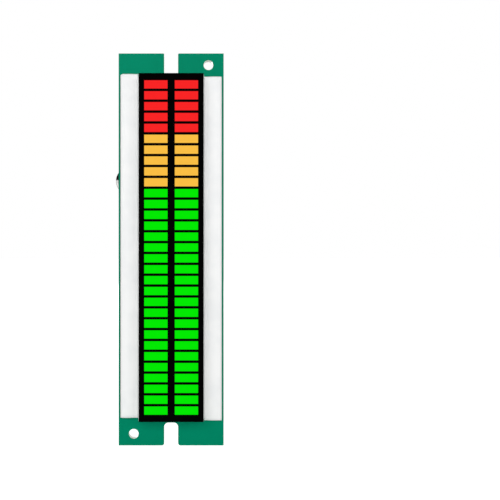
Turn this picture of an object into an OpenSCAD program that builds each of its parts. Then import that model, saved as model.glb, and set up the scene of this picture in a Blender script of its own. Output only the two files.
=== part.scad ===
// LED level meter module: a narrow circuit board with a two-column bar display on its
// front and the drive circuit on its back. Seen from the front, X runs to the right and
// Z up, and Y runs into the board. The origin is the centre of the board's front face.
// Places on the back are given as [right, up] seen from behind.

/* [Circuit board] */
// Width of the circuit board
board_w = 22.5; // [22.2:0.1:30]
// Height of the circuit board
board_h = 84; // [83:0.5:120]
// Thickness of the circuit board
board_t = 1.6; // [0.8:0.1:2.4]
// Width of the open screw slot in each end
slot_w = 3; // [2:0.1:4]
// Depth of each screw slot from the end of the board
slot_d = 4.9; // [3:0.1:5.2]
// Corner radius at the inner end of each screw slot
slot_end_r = 0.95; // [0.4:0.05:0.95]
// Corner radius at the mouth of the lower slot
lower_lip_r = 0.5; // [0.1:0.05:0.8]
// Corner radius at the mouth of the upper slot
upper_lip_r = 0.2; // [0.1:0.05:0.8]
// Diameter of the two corner holes
corner_hole_d = 2.1; // [1.6:0.1:2.6]
// Distance of each corner hole from the centre line
corner_hole_x = 8; // [6.5:0.1:9]
// Distance of each corner hole from the end of the board
corner_hole_inset = 2.5; // [2:0.1:3]
// Diameter of the drilled lead holes
drill_d = 0.9; // [0.8:0.05:1.1]
// Diameter of the drilled vias
via_d = 0.4; // [0.3:0.05:0.5]

/* [Display] */
// Number of light bars in each column
bar_count = 31; // [10:1:31]
// Number of red bars at the top of each column
red_count = 5; // [1:1:5]
// Number of amber bars below the red ones
amber_count = 5; // [1:1:5]
// Distance from one light bar to the next
bar_pitch = 2.24; // [2:0.01:2.24]
// Width of a light bar
bar_w = 4.8; // [3:0.1:5]
// Height of a light bar
bar_h = 1.7; // [1.2:0.05:1.8]
// Distance between the centres of the two columns
column_spacing = 6.3; // [5.9:0.1:6.6]
// Dark margin above the first bar and below the last
display_margin = 1.5; // [1.4:0.05:2]
// Width of the display at its face
face_w = 13.4; // [13:0.1:13.9]
// Width of the display at its foot
foot_w = 14.2; // [14.1:0.1:14.8]
// Height of the display face above the board
display_h = 6; // [5.5:0.1:9]
// Height of the display's centre above the centre of the board
display_z = 0.4; // [-0.5:0.1:1]
// Thickness of the black face
face_t = 0.15; // [0.1:0.05:0.3]
// Height of the feet that the display stands on
foot_h = 0.8; // [0.75:0.05:1.2]
// Side length of a foot
foot_l = 1; // [0.6:0.1:1.4]
// Thickness of the display's end walls
end_wall = 1; // [0.5:0.1:1.1]
// Thickness of the rear potting
potting_t = 1; // [0.5:0.1:1.5]
// Thickness of the inner board
inner_board_t = 0.8; // [0.5:0.1:1]
// Width of a light cell at the inner board
cell_back_w = 3.4; // [2:0.1:4]
// Height of a light cell at the inner board
cell_back_h = 1.1; // [0.8:0.05:1.4]
// Side length of a light-emitting die
die_w = 0.35; // [0.2:0.05:0.5]
// Thickness of a light-emitting die
die_t = 0.15; // [0.1:0.05:0.3]
// Distance between the two rows of display pins
pin_row = 13.3; // [13:0.05:13.35]
// Distance from one pin place to the next
pin_pitch = 2.54; // [2.5:0.01:2.54]
// Width of a display pin
pin_w = 0.5; // [0.3:0.05:0.6]
// Thickness of a display pin
pin_t = 0.2; // [0.15:0.05:0.25]
// Length of a display pin past the back of the board
pin_out = 1.1; // [0.9:0.1:1.6]

/* [Foam strips] */
// Width of a foam strip
strip_w = 3.65; // [2.5:0.05:3.9]
// Length of a foam strip
strip_l = 73.2; // [60:0.2:74]
// Thickness of a foam strip
strip_t = 1.5; // [1:0.1:3]
// Gap between a foam strip and the foot of the display
strip_gap = 0.05; // [0:0.01:0.15]
// Height of the left strip's centre above the centre of the board
left_strip_z = 0.75; // [-0.5:0.05:0.9]
// Height of the right strip's centre above the centre of the board
right_strip_z = 0.2; // [-0.5:0.05:0.9]
// Length of the slanted cut at the upper outer corner of the left strip
strip_cut = 0.5; // [0.1:0.1:1]

/* [Dual-in-line chip] */
// Place of the chip's centre
dip_at = [-3.8, -4.6];
// Number of leads on each side
dip_leads = 9; // [4:1:9]
// Length of the chip body
dip_l = 22.9; // [22:0.1:23.2]
// Width of the chip body
dip_w = 6.6; // [5.6:0.05:6.8]
// Thickness of the chip body
dip_t = 3.3; // [2.6:0.1:4]
// Height of the chip body above the board
dip_gap = 0.5; // [0.3:0.05:1]
// Distance between the two rows of leads
dip_row = 7.62; // [7.4:0.01:8]
// Width of a lead in its hole
dip_lead_w = 0.5; // [0.35:0.05:0.6]
// Width of a lead above the board
dip_shoulder_w = 1.4; // [0.8:0.1:1.6]
// Thickness of a lead
dip_lead_t = 0.25; // [0.2:0.05:0.3]
// Radius of the index notch
dip_notch_r = 0.8; // [0.5:0.1:1.2]
// Depth of the index notch
dip_notch_d = 0.8; // [0.2:0.1:1]

/* [Small-outline chip] */
// Place of the chip's centre
soic_at = [-1.5, -30.9];
// Number of leads on each side
soic_leads = 8; // [4:1:8]
// Length of the chip body
soic_l = 9.9; // [9.6:0.05:10.2]
// Width of the chip body
soic_w = 3.9; // [3.6:0.05:4]
// Thickness of the chip body
soic_t = 1.5; // [1.2:0.05:1.6]
// Width of the chip from lead end to lead end
soic_span = 6; // [5.8:0.05:6.2]
// Distance from one lead to the next
soic_pitch = 1.27; // [1.2:0.01:1.27]
// Width of a lead
soic_lead_w = 0.42; // [0.3:0.02:0.5]
// Radius of the index dimple
index_r = 0.35; // [0.2:0.05:0.5]

/* [Trimmers] */
// Place of the upper trimmer's centre
upper_trimmer_at = [5.75, -2.9];
// Distances of the two lower trimmers from the centre line
lower_trimmer_x = [-1.35, 6.9];
// Gap between the dual-in-line chip and the lower trimmers
trimmer_gap = 0.95; // [0.6:0.05:1.2]
// Side length of a trimmer
trimmer_w = 7; // [6.6:0.1:7.2]
// Height of a trimmer
trimmer_h = 4.9; // [4.5:0.1:6]
// Height of a trimmer's corner feet
trimmer_foot_h = 0.3; // [0.2:0.05:0.6]
// Side length of a trimmer's corner foot
trimmer_foot_w = 0.8; // [0.5:0.1:0.9]
// Wall round the trimmer's inner recess
trimmer_wall = 0.5; // [0.35:0.05:0.6]
// Thickness of the ceramic resistance element
element_t = 0.8; // [0.5:0.05:1]
// Diameter of the rotor's neck
rotor_d = 2.6; // [2.4:0.1:3.4]
// Gap round the rotor's neck at the top of the trimmer
neck_gap = 0.2; // [0.05:0.01:0.3]
// Clearance round the rotor's inner flange
rotor_clear = 0.12; // [0.05:0.01:0.2]
// Diameter of the rotor's inner flange
flange_d = 4.6; // [4.2:0.1:4.8]
// Thickness of the rotor's inner flange
flange_t = 0.8; // [0.5:0.05:1]
// Thickness of the trimmer's roof
roof_t = 1.4; // [1:0.1:1.6]
// Depth of the rotor's top below the trimmer's top
rotor_sunk = 0.2; // [0:0.05:0.4]
// Width of the cross slot
cross_w = 0.6; // [0.4:0.05:0.8]
// Depth of the cross slot
cross_d = 0.8; // [0.4:0.05:1]
// Width of the rotor's stop lug
lug_w = 0.8; // [0.6:0.05:1]
// Length of the rotor's stop lug past the flange
lug_l = 0.35; // [0.25:0.05:0.4]
// Angle that the rotor turns from stop to stop
rotor_travel = 240; // [180:5:260]
// Angle that each rotor is turned to from mid-travel
rotor_turn = [0, 45, 45];
// Distance from a trimmer's centre to its outer pins
trimmer_pin_x = 2.54; // [2.2:0.01:2.6]
// Distance of its outer pins above its centre, and of its middle pin below
trimmer_pin_y = 1.27; // [1:0.01:1.5]
// Diameter of a trimmer pin
trimmer_pin_d = 0.5; // [0.4:0.05:0.6]
// Place of the moulded dimple on a trimmer's top
dimple_at = [2.4, 1.65];
// Diameter of the moulded dimple
dimple_d = 0.7; // [0.4:0.05:0.9]
// Number of dial marks moulded from one end of the rotor's travel to the other
dial_marks = 11; // [5:2:13]
// Distance from a rotor's centre to the inner ends of its dial marks
dial_r = 2; // [1.95:0.05:2.2]
// Length of a dial mark
dial_mark_l = 0.5; // [0.3:0.05:0.6]
// Length of the dial mark at mid-travel
middle_mark_l = 1; // [0.6:0.05:1.1]
// Width of a dial mark
dial_mark_w = 0.2; // [0.1:0.05:0.25]

/* [Electrolytic capacitor] */
// Place of the capacitor's centre
can_at = [8.9, 14.8];
// Outer diameter of the sleeved capacitor
can_d = 6.1; // [5:0.1:6.3]
// Height of the capacitor
can_h = 7; // [5:0.1:12]
// Thickness of the sleeve
sleeve_t = 0.1; // [0.05:0.01:0.2]
// Width of the sleeve's fold over the top
sleeve_fold = 0.95; // [0.4:0.05:1.4]
// Edge radius of the can
can_edge_r = 0.5; // [0.2:0.05:0.8]
// Wall of the can
can_wall = 0.25; // [0.15:0.05:0.4]
// Height of the rubber bung
bung_h = 1.4; // [1:0.1:2]
// Depth of the crimped groove round the bung
crimp_d = 0.3; // [0.1:0.05:0.4]
// Distance between the capacitor's leads
can_lead_pitch = 2.5; // [2:0.1:2.6]
// Diameter of a capacitor lead
can_lead_d = 0.5; // [0.4:0.05:0.6]
// Angle of the line through the capacitor's leads
can_lead_angle = -45; // [-90:5:90]

/* [Header] */
// Place of the header's centre
header_at = [8.45, 6.6];
// Number of header pins
header_pins = 4; // [2:1:4]
// Distance from one header pin to the next
header_pitch = 2; // [1.8:0.05:2]
// Width of the header
header_w = 4.5; // [4.3:0.1:4.9]
// Wall at each end of the header, from the last pin outward
header_end = 1.95; // [1.8:0.05:1.95]
// Height of the header
header_h = 6; // [5:0.1:7]
// Thickness of the header's floor
header_floor = 1.6; // [1:0.1:2.2]
// Wall of the header
header_wall = 0.65; // [0.5:0.05:0.75]
// Wall of the header on the side away from the pins
header_back_wall = 1; // [0.6:0.05:1.1]
// Distance from the header's centre line to its pins
header_pin_off = 0.65; // [0.4:0.05:0.75]
// Side length of a header pin
header_pin_w = 0.5; // [0.4:0.05:0.55]
// Height of a header pin above the board
header_pin_h = 5; // [4:0.1:5.5]
// Width of the keying slot in each end wall
key_w = 0.7; // [0.5:0.05:0.9]
// Depth of the keying slots
key_d = 3.6; // [2:0.1:4]
// Length of the shallow recess in the header's outer side
recess_l = 3.9; // [2:0.1:5]
// Depth of the shallow recess
recess_d = 0.25; // [0.1:0.05:0.3]

/* [Transistors and small chips] */
// Places of the transistors, with 180 where two leads point up
transistor_at = [[-9.1, 32.5, 0], [-9.2, 12.9, 180], [-9.2, -17.5, 0], [9.5, -13.7, 180], [9.5, -28.5, 180]];
// Places of the small chips, with the number of leads on the lower side
small_chip_at = [[4.4, -27.1, 3], [4.5, -33.4, 2]];
// Length of a transistor or small chip body
sot_l = 2.9; // [2.7:0.05:3.1]
// Width of a transistor body
sot_w = 1.3; // [1.2:0.05:1.4]
// Width of a small chip body
small_chip_w = 1.6; // [1.5:0.05:1.8]
// Thickness of both bodies
sot_t = 1; // [0.8:0.05:1.2]
// Width across a transistor's leads
sot_span = 2.4; // [2.2:0.05:2.6]
// Width across a small chip's leads
small_chip_span = 2.8; // [2.6:0.05:3]
// Distance between neighbouring leads
sot_pitch = 0.95; // [0.85:0.05:0.95]
// Width of a lead
sot_lead_w = 0.4; // [0.3:0.02:0.5]

/* [Chip resistors and capacitors] */
// Places of the resistors, with the angle that each lies at
resistor_at = [
    [-9.7, -0.9, 90], [-9.7, -7.4, 90], [-9.7, -12, 90], [2.95, 17.75, 90], [2.95, 8.45, 90],
    [3.15, -7.95, 0], [3.15, -10.35, 0], [3.15, -12.8, 0], [3.15, -15.25, 0],
    [-9, -23.3, 90], [7.7, -33.7, 90], [9.9, -33.7, 90]
];
// Places of the ceramic capacitors, with the angle that each lies at
ceramic_at = [[2.95, 13.3, 90], [2.05, 3.8, 90], [-8.9, -28.7, 90], [-9.75, -33.3, 90]];
// Length of a chip resistor or capacitor
chip_l = 2; // [1.8:0.05:2.2]
// Width of a chip resistor or capacitor
chip_w = 1.25; // [1.1:0.05:1.4]
// Thickness of a chip resistor
resistor_t = 0.5; // [0.35:0.05:0.65]
// Thickness of a chip capacitor
ceramic_t = 0.95; // [0.6:0.05:1.2]
// Length of a metal end cap
cap_l = 0.38; // [0.25:0.01:0.5]
// Thickness of a metal end cap
cap_t = 0.04; // [0.03:0.01:0.06]
// Thickness of a resistor's top coat
coat_t = 0.03; // [0.02:0.01:0.03]

/* [Solder and leads] */
// Height of a solder joint
joint_h = 0.6; // [0.4:0.05:0.65]
// Radius of a solder joint at the board
joint_r = 0.65; // [0.55:0.05:0.75]
// Radius of a solder joint at its tip
joint_tip_r = 0.36; // [0.3:0.02:0.42]
// Length of a component lead past the front of the board
lead_out = 0.6; // [0.5:0.05:0.7]
// Height of the gap under a surface-mounted body
smd_gap = 0.1; // [0.05:0.01:0.2]
// Thickness of a surface-mounted lead
smd_lead_t = 0.18; // [0.12:0.01:0.22]
// Length of a surface-mounted lead's flat foot
smd_foot_l = 0.5; // [0.3:0.05:0.6]

/* [Hidden] */
$fn = 48;
// Overrun of a cutting shape
cut = 1;
// Fine clearance or overlap where two pieces meet
touch = 0.02;

display_l = (bar_count - 1) * bar_pitch + bar_h + 2 * display_margin;
face_z = display_h - face_t;
inner_board_z = foot_h + potting_t;
cell_z = inner_board_z + inner_board_t;
cell_h = face_z - cell_z;
cavity_w = pin_row + pin_t + 2 * touch;
cavity_l = display_l - 2 * end_wall;
middle_pin = 12;
left_pins = [0, 1, 2, 6, 7, 8, 9, 19, 20, 21, 22, 23, 24];
right_pins = [0, 1, 2, 3, 4, 5, 15, 16, 17, 18, 22, 23, 24];
display_pin_at = concat(
    [for (k = left_pins) [-pin_row / 2, (middle_pin - k) * pin_pitch]],
    [for (k = right_pins) [pin_row / 2, (middle_pin - k) * pin_pitch]]
);

dip_pitch = 2.54;
dip_lean = 0.18;
dip_side = [for (k = [0:dip_leads - 1]) ((dip_leads - 1) / 2 - k) * dip_pitch];
dip_lead_at = [for (side = [-1, 1], v = dip_side) dip_at + [side * dip_row / 2, v]];
dip_seam_z = dip_gap + dip_t / 2;

lower_trimmer_y = dip_at[1] - dip_l / 2 - trimmer_gap - trimmer_w / 2;
trimmer_at = concat([upper_trimmer_at], [for (x = lower_trimmer_x) [x, lower_trimmer_y]]);
trimmer_pin_at = [
    [-trimmer_pin_x, trimmer_pin_y], [0, -trimmer_pin_y], [trimmer_pin_x, trimmer_pin_y]
];
element_inset = 0.2;
element_z = trimmer_foot_h + element_inset;
hollow_z = element_z + element_t;
roof_z = trimmer_h - roof_t;
hollow_r = flange_d / 2 + lug_l + rotor_clear;
flange_z = roof_z - rotor_clear - flange_t;
neck_top = trimmer_h - rotor_sunk;
lug_half_angle = asin(lug_w / 2 / (flange_d / 2));
stop_clear = 3;
stop_half_angle = 180 - rotor_travel / 2 - lug_half_angle - stop_clear;
dial_mark_t = 0.1;

can_lead_at = [for (side = [-1, 1]) can_at
    + side * can_lead_pitch / 2 * [cos(can_lead_angle), sin(can_lead_angle)]];
header_l = (header_pins - 1) * header_pitch + 2 * header_end;
header_pin_at = [for (k = [0:header_pins - 1]) header_at
    + [header_pin_off, ((header_pins - 1) / 2 - k) * header_pitch]];

// Lead holes of parts that are not fitted: a two-pin part, a side-entry header, an
// upright capacitor and two links
spare_pitch = 2.54;
spare_holes = concat(
    [for (k = [0, 1]) [-8 + k * spare_pitch, 36.7]],
    [for (k = [0:3]) [-3.85 + k * spare_pitch, 33.3]],
    [for (side = [-1, 1]) [-0.2 + side * 6.4, 33.9]],
    [for (side = [-1, 1]) [-8.2, 22.3 + side * 1.2]],
    [for (v = [19.8, 12.3, 10.1, 2.7]) [4.95, v]]
);
vias = [
    [10.4, 22.8], [-5.3, 27.5], [1.4, 28.1], [5.2, 27.3], [-10.2, 30], [-9.4, 9.8],
    [10.4, -16.2], [10.3, -30.9], [5.7, -29.5], [0.2, 25.7], [-1.4, 23.3], [-1.1, 21.8],
    [5.6, 21.8], [-5, 18.6], [-3, 12.6], [-1, 12.6], [-0.9, 10.2], [1.2, -13.5],
    [-9.5, -21.2], [-10.2, -26.1], [-9.7, -31], [2.8, -30], [3.8, 4.1]
];
// Leads that come through to the front of the board, where they are soldered
front_joints = concat(
    dip_lead_at,
    [for (t = trimmer_at, p = trimmer_pin_at) t + p],
    can_lead_at,
    header_pin_at
);

// Draws with x to the right, y up and z outward from the front of the board
module on_front() { rotate([90, 0, 0]) children(); }

// The same on the back of the board, seen from behind
module on_back() { translate([0, board_t, 0]) rotate([90, 0, 180]) children(); }

// A bar along y whose sides lean in from base to top
module leaning_bar(base, top, l, h) {
    rotate([90, 0, 0])
        linear_extrude(l, center = true)
            polygon([[-base / 2, 0], [base / 2, 0], [top / 2, h], [-top / 2, h]]);
}

module centred_box(w, l, h) { translate([-w / 2, -l / 2, 0]) cube([w, l, h]); }

// A moulded body, widest at its seam, that leans in to its top and bottom
module moulded_body(w, l, h, seam, lean) {
    side = [[-1, 0], [-1, seam], [-1, h], [1, h], [1, seam], [1, 0]];
    function outline(size) = [for (p = side) [p[0] * (size / 2 - (p[1] == seam ? 0 : lean)), p[1]]];
    intersection() {
        rotate([90, 0, 0]) linear_extrude(l, center = true) polygon(outline(w));
        rotate([90, 0, 90]) linear_extrude(w, center = true) polygon(outline(l));
    }
}

// A gull-wing lead to the right: out of the body, down, and flat on the board
module gull_lead(from_x, to_x, top_z, w) {
    t = smd_lead_t;
    knee = to_x - smd_foot_l;
    bend = (knee - from_x) * 0.45;
    rotate([90, 0, 0])
        linear_extrude(w, center = true)
            polygon([
                [from_x, top_z - t / 2], [from_x + bend, top_z - t / 2],
                [knee - t / 2, 0], [to_x, 0], [to_x, t], [knee + t / 2, t],
                [from_x + bend + t, top_z + t / 2], [from_x, top_z + t / 2]
            ]);
}

// Circuit board
module slot_cut(lip_r) {
    end_x = slot_w / 2 - slot_end_r;
    straight = slot_d - slot_end_r;
    translate([-slot_w / 2, -straight]) square([slot_w, straight + cut]);
    translate([-end_x, -slot_d]) square([2 * end_x, slot_end_r]);
    for (side = [-1, 1])
        translate([side * end_x, -straight]) circle(r = slot_end_r);
    for (side = [0, 1])
        mirror([side, 0])
            translate([slot_w / 2, 0])
                difference() {
                    translate([-cut, -lip_r]) square([lip_r + cut, lip_r + cut]);
                    translate([lip_r, -lip_r]) circle(r = lip_r);
                    translate([-2 * cut, -lip_r]) square([2 * cut, lip_r + cut]);
                }
}

module circuit_board() {
    hole_x = corner_hole_x;
    hole_y = board_h / 2 - corner_hole_inset;
    color([0.02, 0.5, 0.36])
        on_back()
            translate([0, 0, -board_t])
                linear_extrude(board_t)
                    difference() {
                        square([board_w, board_h], center = true);
                        translate([0, board_h / 2]) slot_cut(upper_lip_r);
                        translate([0, -board_h / 2]) mirror([0, 1]) slot_cut(lower_lip_r);
                        translate([-hole_x, hole_y]) circle(d = corner_hole_d);
                        translate([hole_x, -hole_y]) circle(d = corner_hole_d);
                        for (p = concat(display_pin_at, front_joints, spare_holes))
                            translate(p) circle(d = drill_d);
                        for (p = vias)
                            translate(p) circle(d = via_d);
                    }
}

// Display
function bar_y(row) = ((bar_count - 1) / 2 - row) * bar_pitch;
red_rows = [0:red_count - 1];
amber_rows = [red_count:red_count + amber_count - 1];
green_rows = [red_count + amber_count:bar_count - 1];
all_rows = [0:bar_count - 1];

// Side view of a light cell: it widens from the inner board and runs straight through
// the face
function cell_side(back, front) = [
    [-back / 2, 0], [back / 2, 0], [front / 2, cell_h], [front / 2, cell_h + face_t],
    [-front / 2, cell_h + face_t], [-front / 2, cell_h]
];

module light_cells(rows) {
    for (side = [-1, 1])
        translate([side * column_spacing / 2, display_z, cell_z])
            intersection() {
                rotate([90, 0, 0])
                    linear_extrude(display_l, center = true) polygon(cell_side(cell_back_w, bar_w));
                rotate([90, 0, 90])
                    linear_extrude(bar_w + cut, center = true)
                        for (row = rows)
                            translate([bar_y(row), 0]) polygon(cell_side(cell_back_h, bar_h));
            }
}

module dies(rows) {
    for (side = [-1, 1], row = rows)
        translate([side * column_spacing / 2, display_z + bar_y(row), cell_z])
            centred_box(die_w, die_w, die_t);
}

module light_bars(rows) {
    on_front()
        difference() {
            light_cells(rows);
            dies(rows);
        }
}

module display_pin_bars() {
    for (p = display_pin_at)
        translate([p[0], p[1], -board_t - cell_z])
            centred_box(pin_t, pin_w, board_t + cell_z + pin_out);
}

module display_housing() {
    foot_x = foot_w / 2 - foot_l / 2 - touch;
    foot_y = display_l / 2 - foot_l / 2;
    color("white")
        on_front()
            difference() {
                union() {
                    translate([0, display_z, foot_h])
                        leaning_bar(foot_w, face_w, display_l, face_z - foot_h);
                    for (side = [-1, 1], end = [-1, 1])
                        translate([side * foot_x, display_z + end * foot_y, 0])
                            centred_box(foot_l, foot_l, foot_h);
                }
                translate([0, display_z, foot_h - cut])
                    centred_box(cavity_w, cavity_l, cell_z - foot_h + cut);
                light_cells(all_rows);
            }
}

module display_face() {
    color([0.02, 0.02, 0.02])
        on_front()
            difference() {
                translate([0, display_z, face_z]) centred_box(face_w, display_l, face_t);
                light_cells(all_rows);
            }
}

module inner_board() {
    color([0.85, 0.86, 0.8])
        on_front()
            translate([0, display_z, inner_board_z])
                centred_box(pin_row - pin_t, cavity_l, inner_board_t);
}

module rear_potting() {
    color([0.9, 0.9, 0.86])
        difference() {
            on_front() translate([0, display_z, foot_h]) centred_box(cavity_w, cavity_l, potting_t);
            on_back() display_pin_bars();
        }
}

module display_pins() { color("silver") on_back() display_pin_bars(); }

module light_dies() { color([0.8, 0.75, 0.5]) on_front() dies(all_rows); }

module red_bars() { color([0.98, 0.14, 0.15]) light_bars(red_rows); }

module amber_bars() { color([0.98, 0.75, 0.27]) light_bars(amber_rows); }

module green_bars() { color([0.02, 0.92, 0.02]) light_bars(green_rows); }

// Foam strips, pressed over the solder joints that lie under them
module foam_strip(side, z, corner_cut) {
    inner_x = foot_w / 2 + strip_gap;
    color([0.95, 0.95, 0.95])
        difference() {
            on_front()
                translate([side * (inner_x + strip_w / 2), z, 0])
                    linear_extrude(strip_t)
                        difference() {
                            square([strip_w, strip_l], center = true);
                            translate([side * strip_w / 2, strip_l / 2])
                                rotate(45)
                                    square(corner_cut * sqrt(2), center = true);
                        }
            on_back()
                for (p = front_joints)
                    translate([p[0], p[1], -board_t - lead_out - touch])
                        cylinder(r = joint_r + touch, h = lead_out + touch + cut / 2);
        }
}

module left_foam_strip() { foam_strip(-1, left_strip_z, strip_cut); }

module right_foam_strip() {
    right_cut = strip_cut / 5;
    foam_strip(1, right_strip_z, right_cut);
}

// Dual-in-line chip
module controller_body() {
    color([0.23, 0.2, 0.2])
        on_back()
            translate([dip_at[0], dip_at[1], dip_gap])
                difference() {
                    moulded_body(dip_w, dip_l, dip_t, dip_t / 2, dip_lean);
                    translate([0, dip_l / 2, dip_t - dip_notch_d])
                        cylinder(r = dip_notch_r, h = dip_notch_d + cut);
                    for (side = [-1, 1], v = dip_side)
                        translate([side * dip_w / 2, v, dip_t / 2 - dip_lead_t / 2])
                            centred_box(2 * dip_lead_t, dip_shoulder_w, dip_lead_t);
                }
}

// One lead to the right: a wide shoulder that bends down and narrows to the hole
module dip_lead() {
    outer = dip_row / 2 + dip_lead_t / 2;
    inner = dip_w / 2 - dip_lead_t;
    top = dip_seam_z + dip_lead_t / 2;
    bend = 2 * dip_lead_t;
    rotate([90, 0, 0])
        linear_extrude(dip_shoulder_w, center = true)
            difference() {
                union() {
                    translate([inner, top - dip_lead_t]) square([outer - inner - bend, dip_lead_t]);
                    translate([outer - dip_lead_t, dip_gap]) square([dip_lead_t, top - dip_gap - bend]);
                    intersection() {
                        translate([outer - bend, top - bend]) circle(r = bend);
                        translate([outer - bend, top - bend]) square(bend);
                    }
                }
                translate([outer - bend, top - bend]) circle(r = bend - dip_lead_t);
            }
    translate([outer - dip_lead_t / 2, 0, -board_t - lead_out])
        centred_box(dip_lead_t, dip_lead_w, board_t + lead_out + dip_gap);
}

module dip_lead_set() {
    for (side = [0, 1], v = dip_side)
        translate([dip_at[0], dip_at[1] + v, 0]) mirror([side, 0, 0]) dip_lead();
}

module controller_leads() { color("silver") on_back() dip_lead_set(); }

// Small-outline chip
soic_lean = 0.12;
soic_side = [for (k = [0:soic_leads - 1]) ((soic_leads - 1) / 2 - k) * soic_pitch];

module soic_lead_set() {
    for (side = [0, 1], v = soic_side)
        translate([soic_at[0], soic_at[1] + v, 0])
            mirror([side, 0, 0])
                gull_lead(soic_w / 2 - smd_lead_t, soic_span / 2, smd_gap + soic_t / 2, soic_lead_w);
}

module driver_body() {
    color([0.16, 0.14, 0.14])
        on_back()
            difference() {
                translate([soic_at[0], soic_at[1], smd_gap])
                    moulded_body(soic_w, soic_l, soic_t, soic_t / 2, soic_lean);
                translate([
                    soic_at[0] - soic_w / 2 + 4 * index_r, soic_at[1] + soic_l / 2 - 3 * index_r,
                    smd_gap + soic_t - index_r / 2
                ])
                    cylinder(r = index_r, h = cut);
                soic_lead_set();
            }
}

module driver_leads() { color("silver") on_back() soic_lead_set(); }

// Trimmers
module ring_sector(r_out, r_in, half_angle, h) {
    reach = 2 * r_out;
    intersection() {
        difference() {
            cylinder(r = r_out, h = h);
            translate([0, 0, -cut]) cylinder(r = r_in, h = h + 2 * cut);
        }
        linear_extrude(h)
            polygon([
                [0, 0], reach * [sin(half_angle), cos(half_angle)], [0, reach],
                reach * [-sin(half_angle), cos(half_angle)]
            ]);
    }
}

// The hollow that the flange turns in, with the stop left standing at its foot
module trimmer_hollow() {
    difference() {
        translate([0, 0, hollow_z - cut]) cylinder(r = hollow_r, h = roof_z - hollow_z + cut);
        translate([0, 0, hollow_z - 2 * cut])
            ring_sector(
                hollow_r + cut, flange_d / 2 + rotor_clear, stop_half_angle,
                roof_z - hollow_z + 3 * cut
            );
    }
}

// Shallow marks round the rotor, with a long one opposite the stop
module dial_cuts() {
    middle = (dial_marks - 1) / 2;
    for (k = [-middle:middle])
        rotate(180 + k * rotor_travel / (dial_marks - 1))
            translate([-dial_mark_w / 2, dial_r, trimmer_h - dial_mark_t])
                cube([dial_mark_w, k == 0 ? middle_mark_l : dial_mark_l, cut]);
}

module trimmer_housing(n) {
    recess_w = trimmer_w - 2 * trimmer_wall;
    foot_at = trimmer_w / 2 - trimmer_foot_w / 2;
    color([0.2, 0.47, 0.83])
        on_back()
            translate(trimmer_at[n])
                difference() {
                    union() {
                        translate([0, 0, trimmer_foot_h])
                            centred_box(trimmer_w, trimmer_w, trimmer_h - trimmer_foot_h);
                        for (x = [-1, 1], y = [-1, 1])
                            translate([x * foot_at, y * foot_at, 0])
                                centred_box(trimmer_foot_w, trimmer_foot_w, trimmer_foot_h);
                    }
                    difference() {
                        centred_box(recess_w, recess_w, hollow_z);
                        for (x = [-1, 1], y = [-1, 1])
                            translate([x * foot_at, y * foot_at, -cut])
                                centred_box(trimmer_foot_w, trimmer_foot_w, trimmer_foot_h + cut);
                    }
                    trimmer_hollow();
                    translate([0, 0, roof_z - cut])
                        cylinder(d = rotor_d + 2 * neck_gap, h = roof_t + 2 * cut);
                    translate([dimple_at[0], dimple_at[1], trimmer_h - dimple_d / 4])
                        cylinder(d = dimple_d, h = cut);
                    dial_cuts();
                }
}

module trimmer_rotor(n) {
    color([0.93, 0.9, 0.86])
        on_back()
            translate(trimmer_at[n])
                rotate(rotor_turn[n])
                    difference() {
                        union() {
                            translate([0, 0, flange_z]) cylinder(d = flange_d, h = flange_t);
                            translate([-lug_w / 2, touch - flange_d / 2 - lug_l, flange_z])
                                cube([lug_w, flange_d / 4 + lug_l - touch, flange_t]);
                            translate([0, 0, flange_z]) cylinder(d = rotor_d, h = neck_top - flange_z);
                        }
                        for (turn = [0, 90])
                            rotate(turn)
                                translate([0, 0, neck_top - cross_d])
                                    centred_box(cross_w, rotor_d + cut, cross_d + cut);
                    }
}

// A spring plate under the flange, with an arm that bears on the resistance element
module trimmer_wiper(n) {
    plate_t = 0.15;
    plate_w = 1.2;
    arm_x = flange_d / 2 - plate_w / 2;
    color([0.8, 0.62, 0.3])
        on_back()
            translate(trimmer_at[n])
                rotate(rotor_turn[n])
                    rotate([90, 0, 0])
                        linear_extrude(plate_w, center = true)
                            polygon([
                                [-arm_x, flange_z], [-arm_x, flange_z - plate_t],
                                [arm_x - 3 * plate_t, flange_z - plate_t],
                                [arm_x - 2 * plate_t, hollow_z + touch],
                                [arm_x - plate_t, hollow_z + touch],
                                [arm_x, hollow_z + plate_t],
                                [arm_x - plate_t, hollow_z + plate_t],
                                [arm_x - 2 * plate_t, flange_z]
                            ]);
}

module trimmer_pin_bars(n) {
    for (p = trimmer_pin_at)
        translate([trimmer_at[n][0] + p[0], trimmer_at[n][1] + p[1], -board_t - lead_out])
            cylinder(d = trimmer_pin_d, h = board_t + lead_out + element_z + element_t / 2);
}

module trimmer_elements() {
    element_w = trimmer_w - 2 * trimmer_wall;
    color([0.92, 0.9, 0.85])
        on_back()
            for (n = [0:len(trimmer_at) - 1])
                difference() {
                    translate([trimmer_at[n][0], trimmer_at[n][1], element_z])
                        centred_box(element_w, element_w, element_t);
                    trimmer_pin_bars(n);
                }
}

module trimmer_pins() {
    color("silver") on_back() for (n = [0:len(trimmer_at) - 1]) trimmer_pin_bars(n);
}

// Electrolytic capacitor
can_r = can_d / 2 - sleeve_t;
can_top = can_h - sleeve_t;
bung_r = can_r - can_wall;
crimp_z = sleeve_t + bung_h / 2;

function arc(centre, r, from, to, steps = 6) = [
    for (k = [0:steps])
        let (a = from + (to - from) * k / steps) centre + r * [cos(a), sin(a)]
];

// Half section of the can's outside, from its open foot up to the centre of its top
function can_side(grow) = concat(
    [
        [can_r + grow, sleeve_t], [can_r + grow, crimp_z - crimp_d],
        [can_r - crimp_d + grow, crimp_z], [can_r + grow, crimp_z + crimp_d]
    ],
    arc([can_r - can_edge_r, can_top - can_edge_r], can_edge_r + grow, 0, 90)
);

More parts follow.
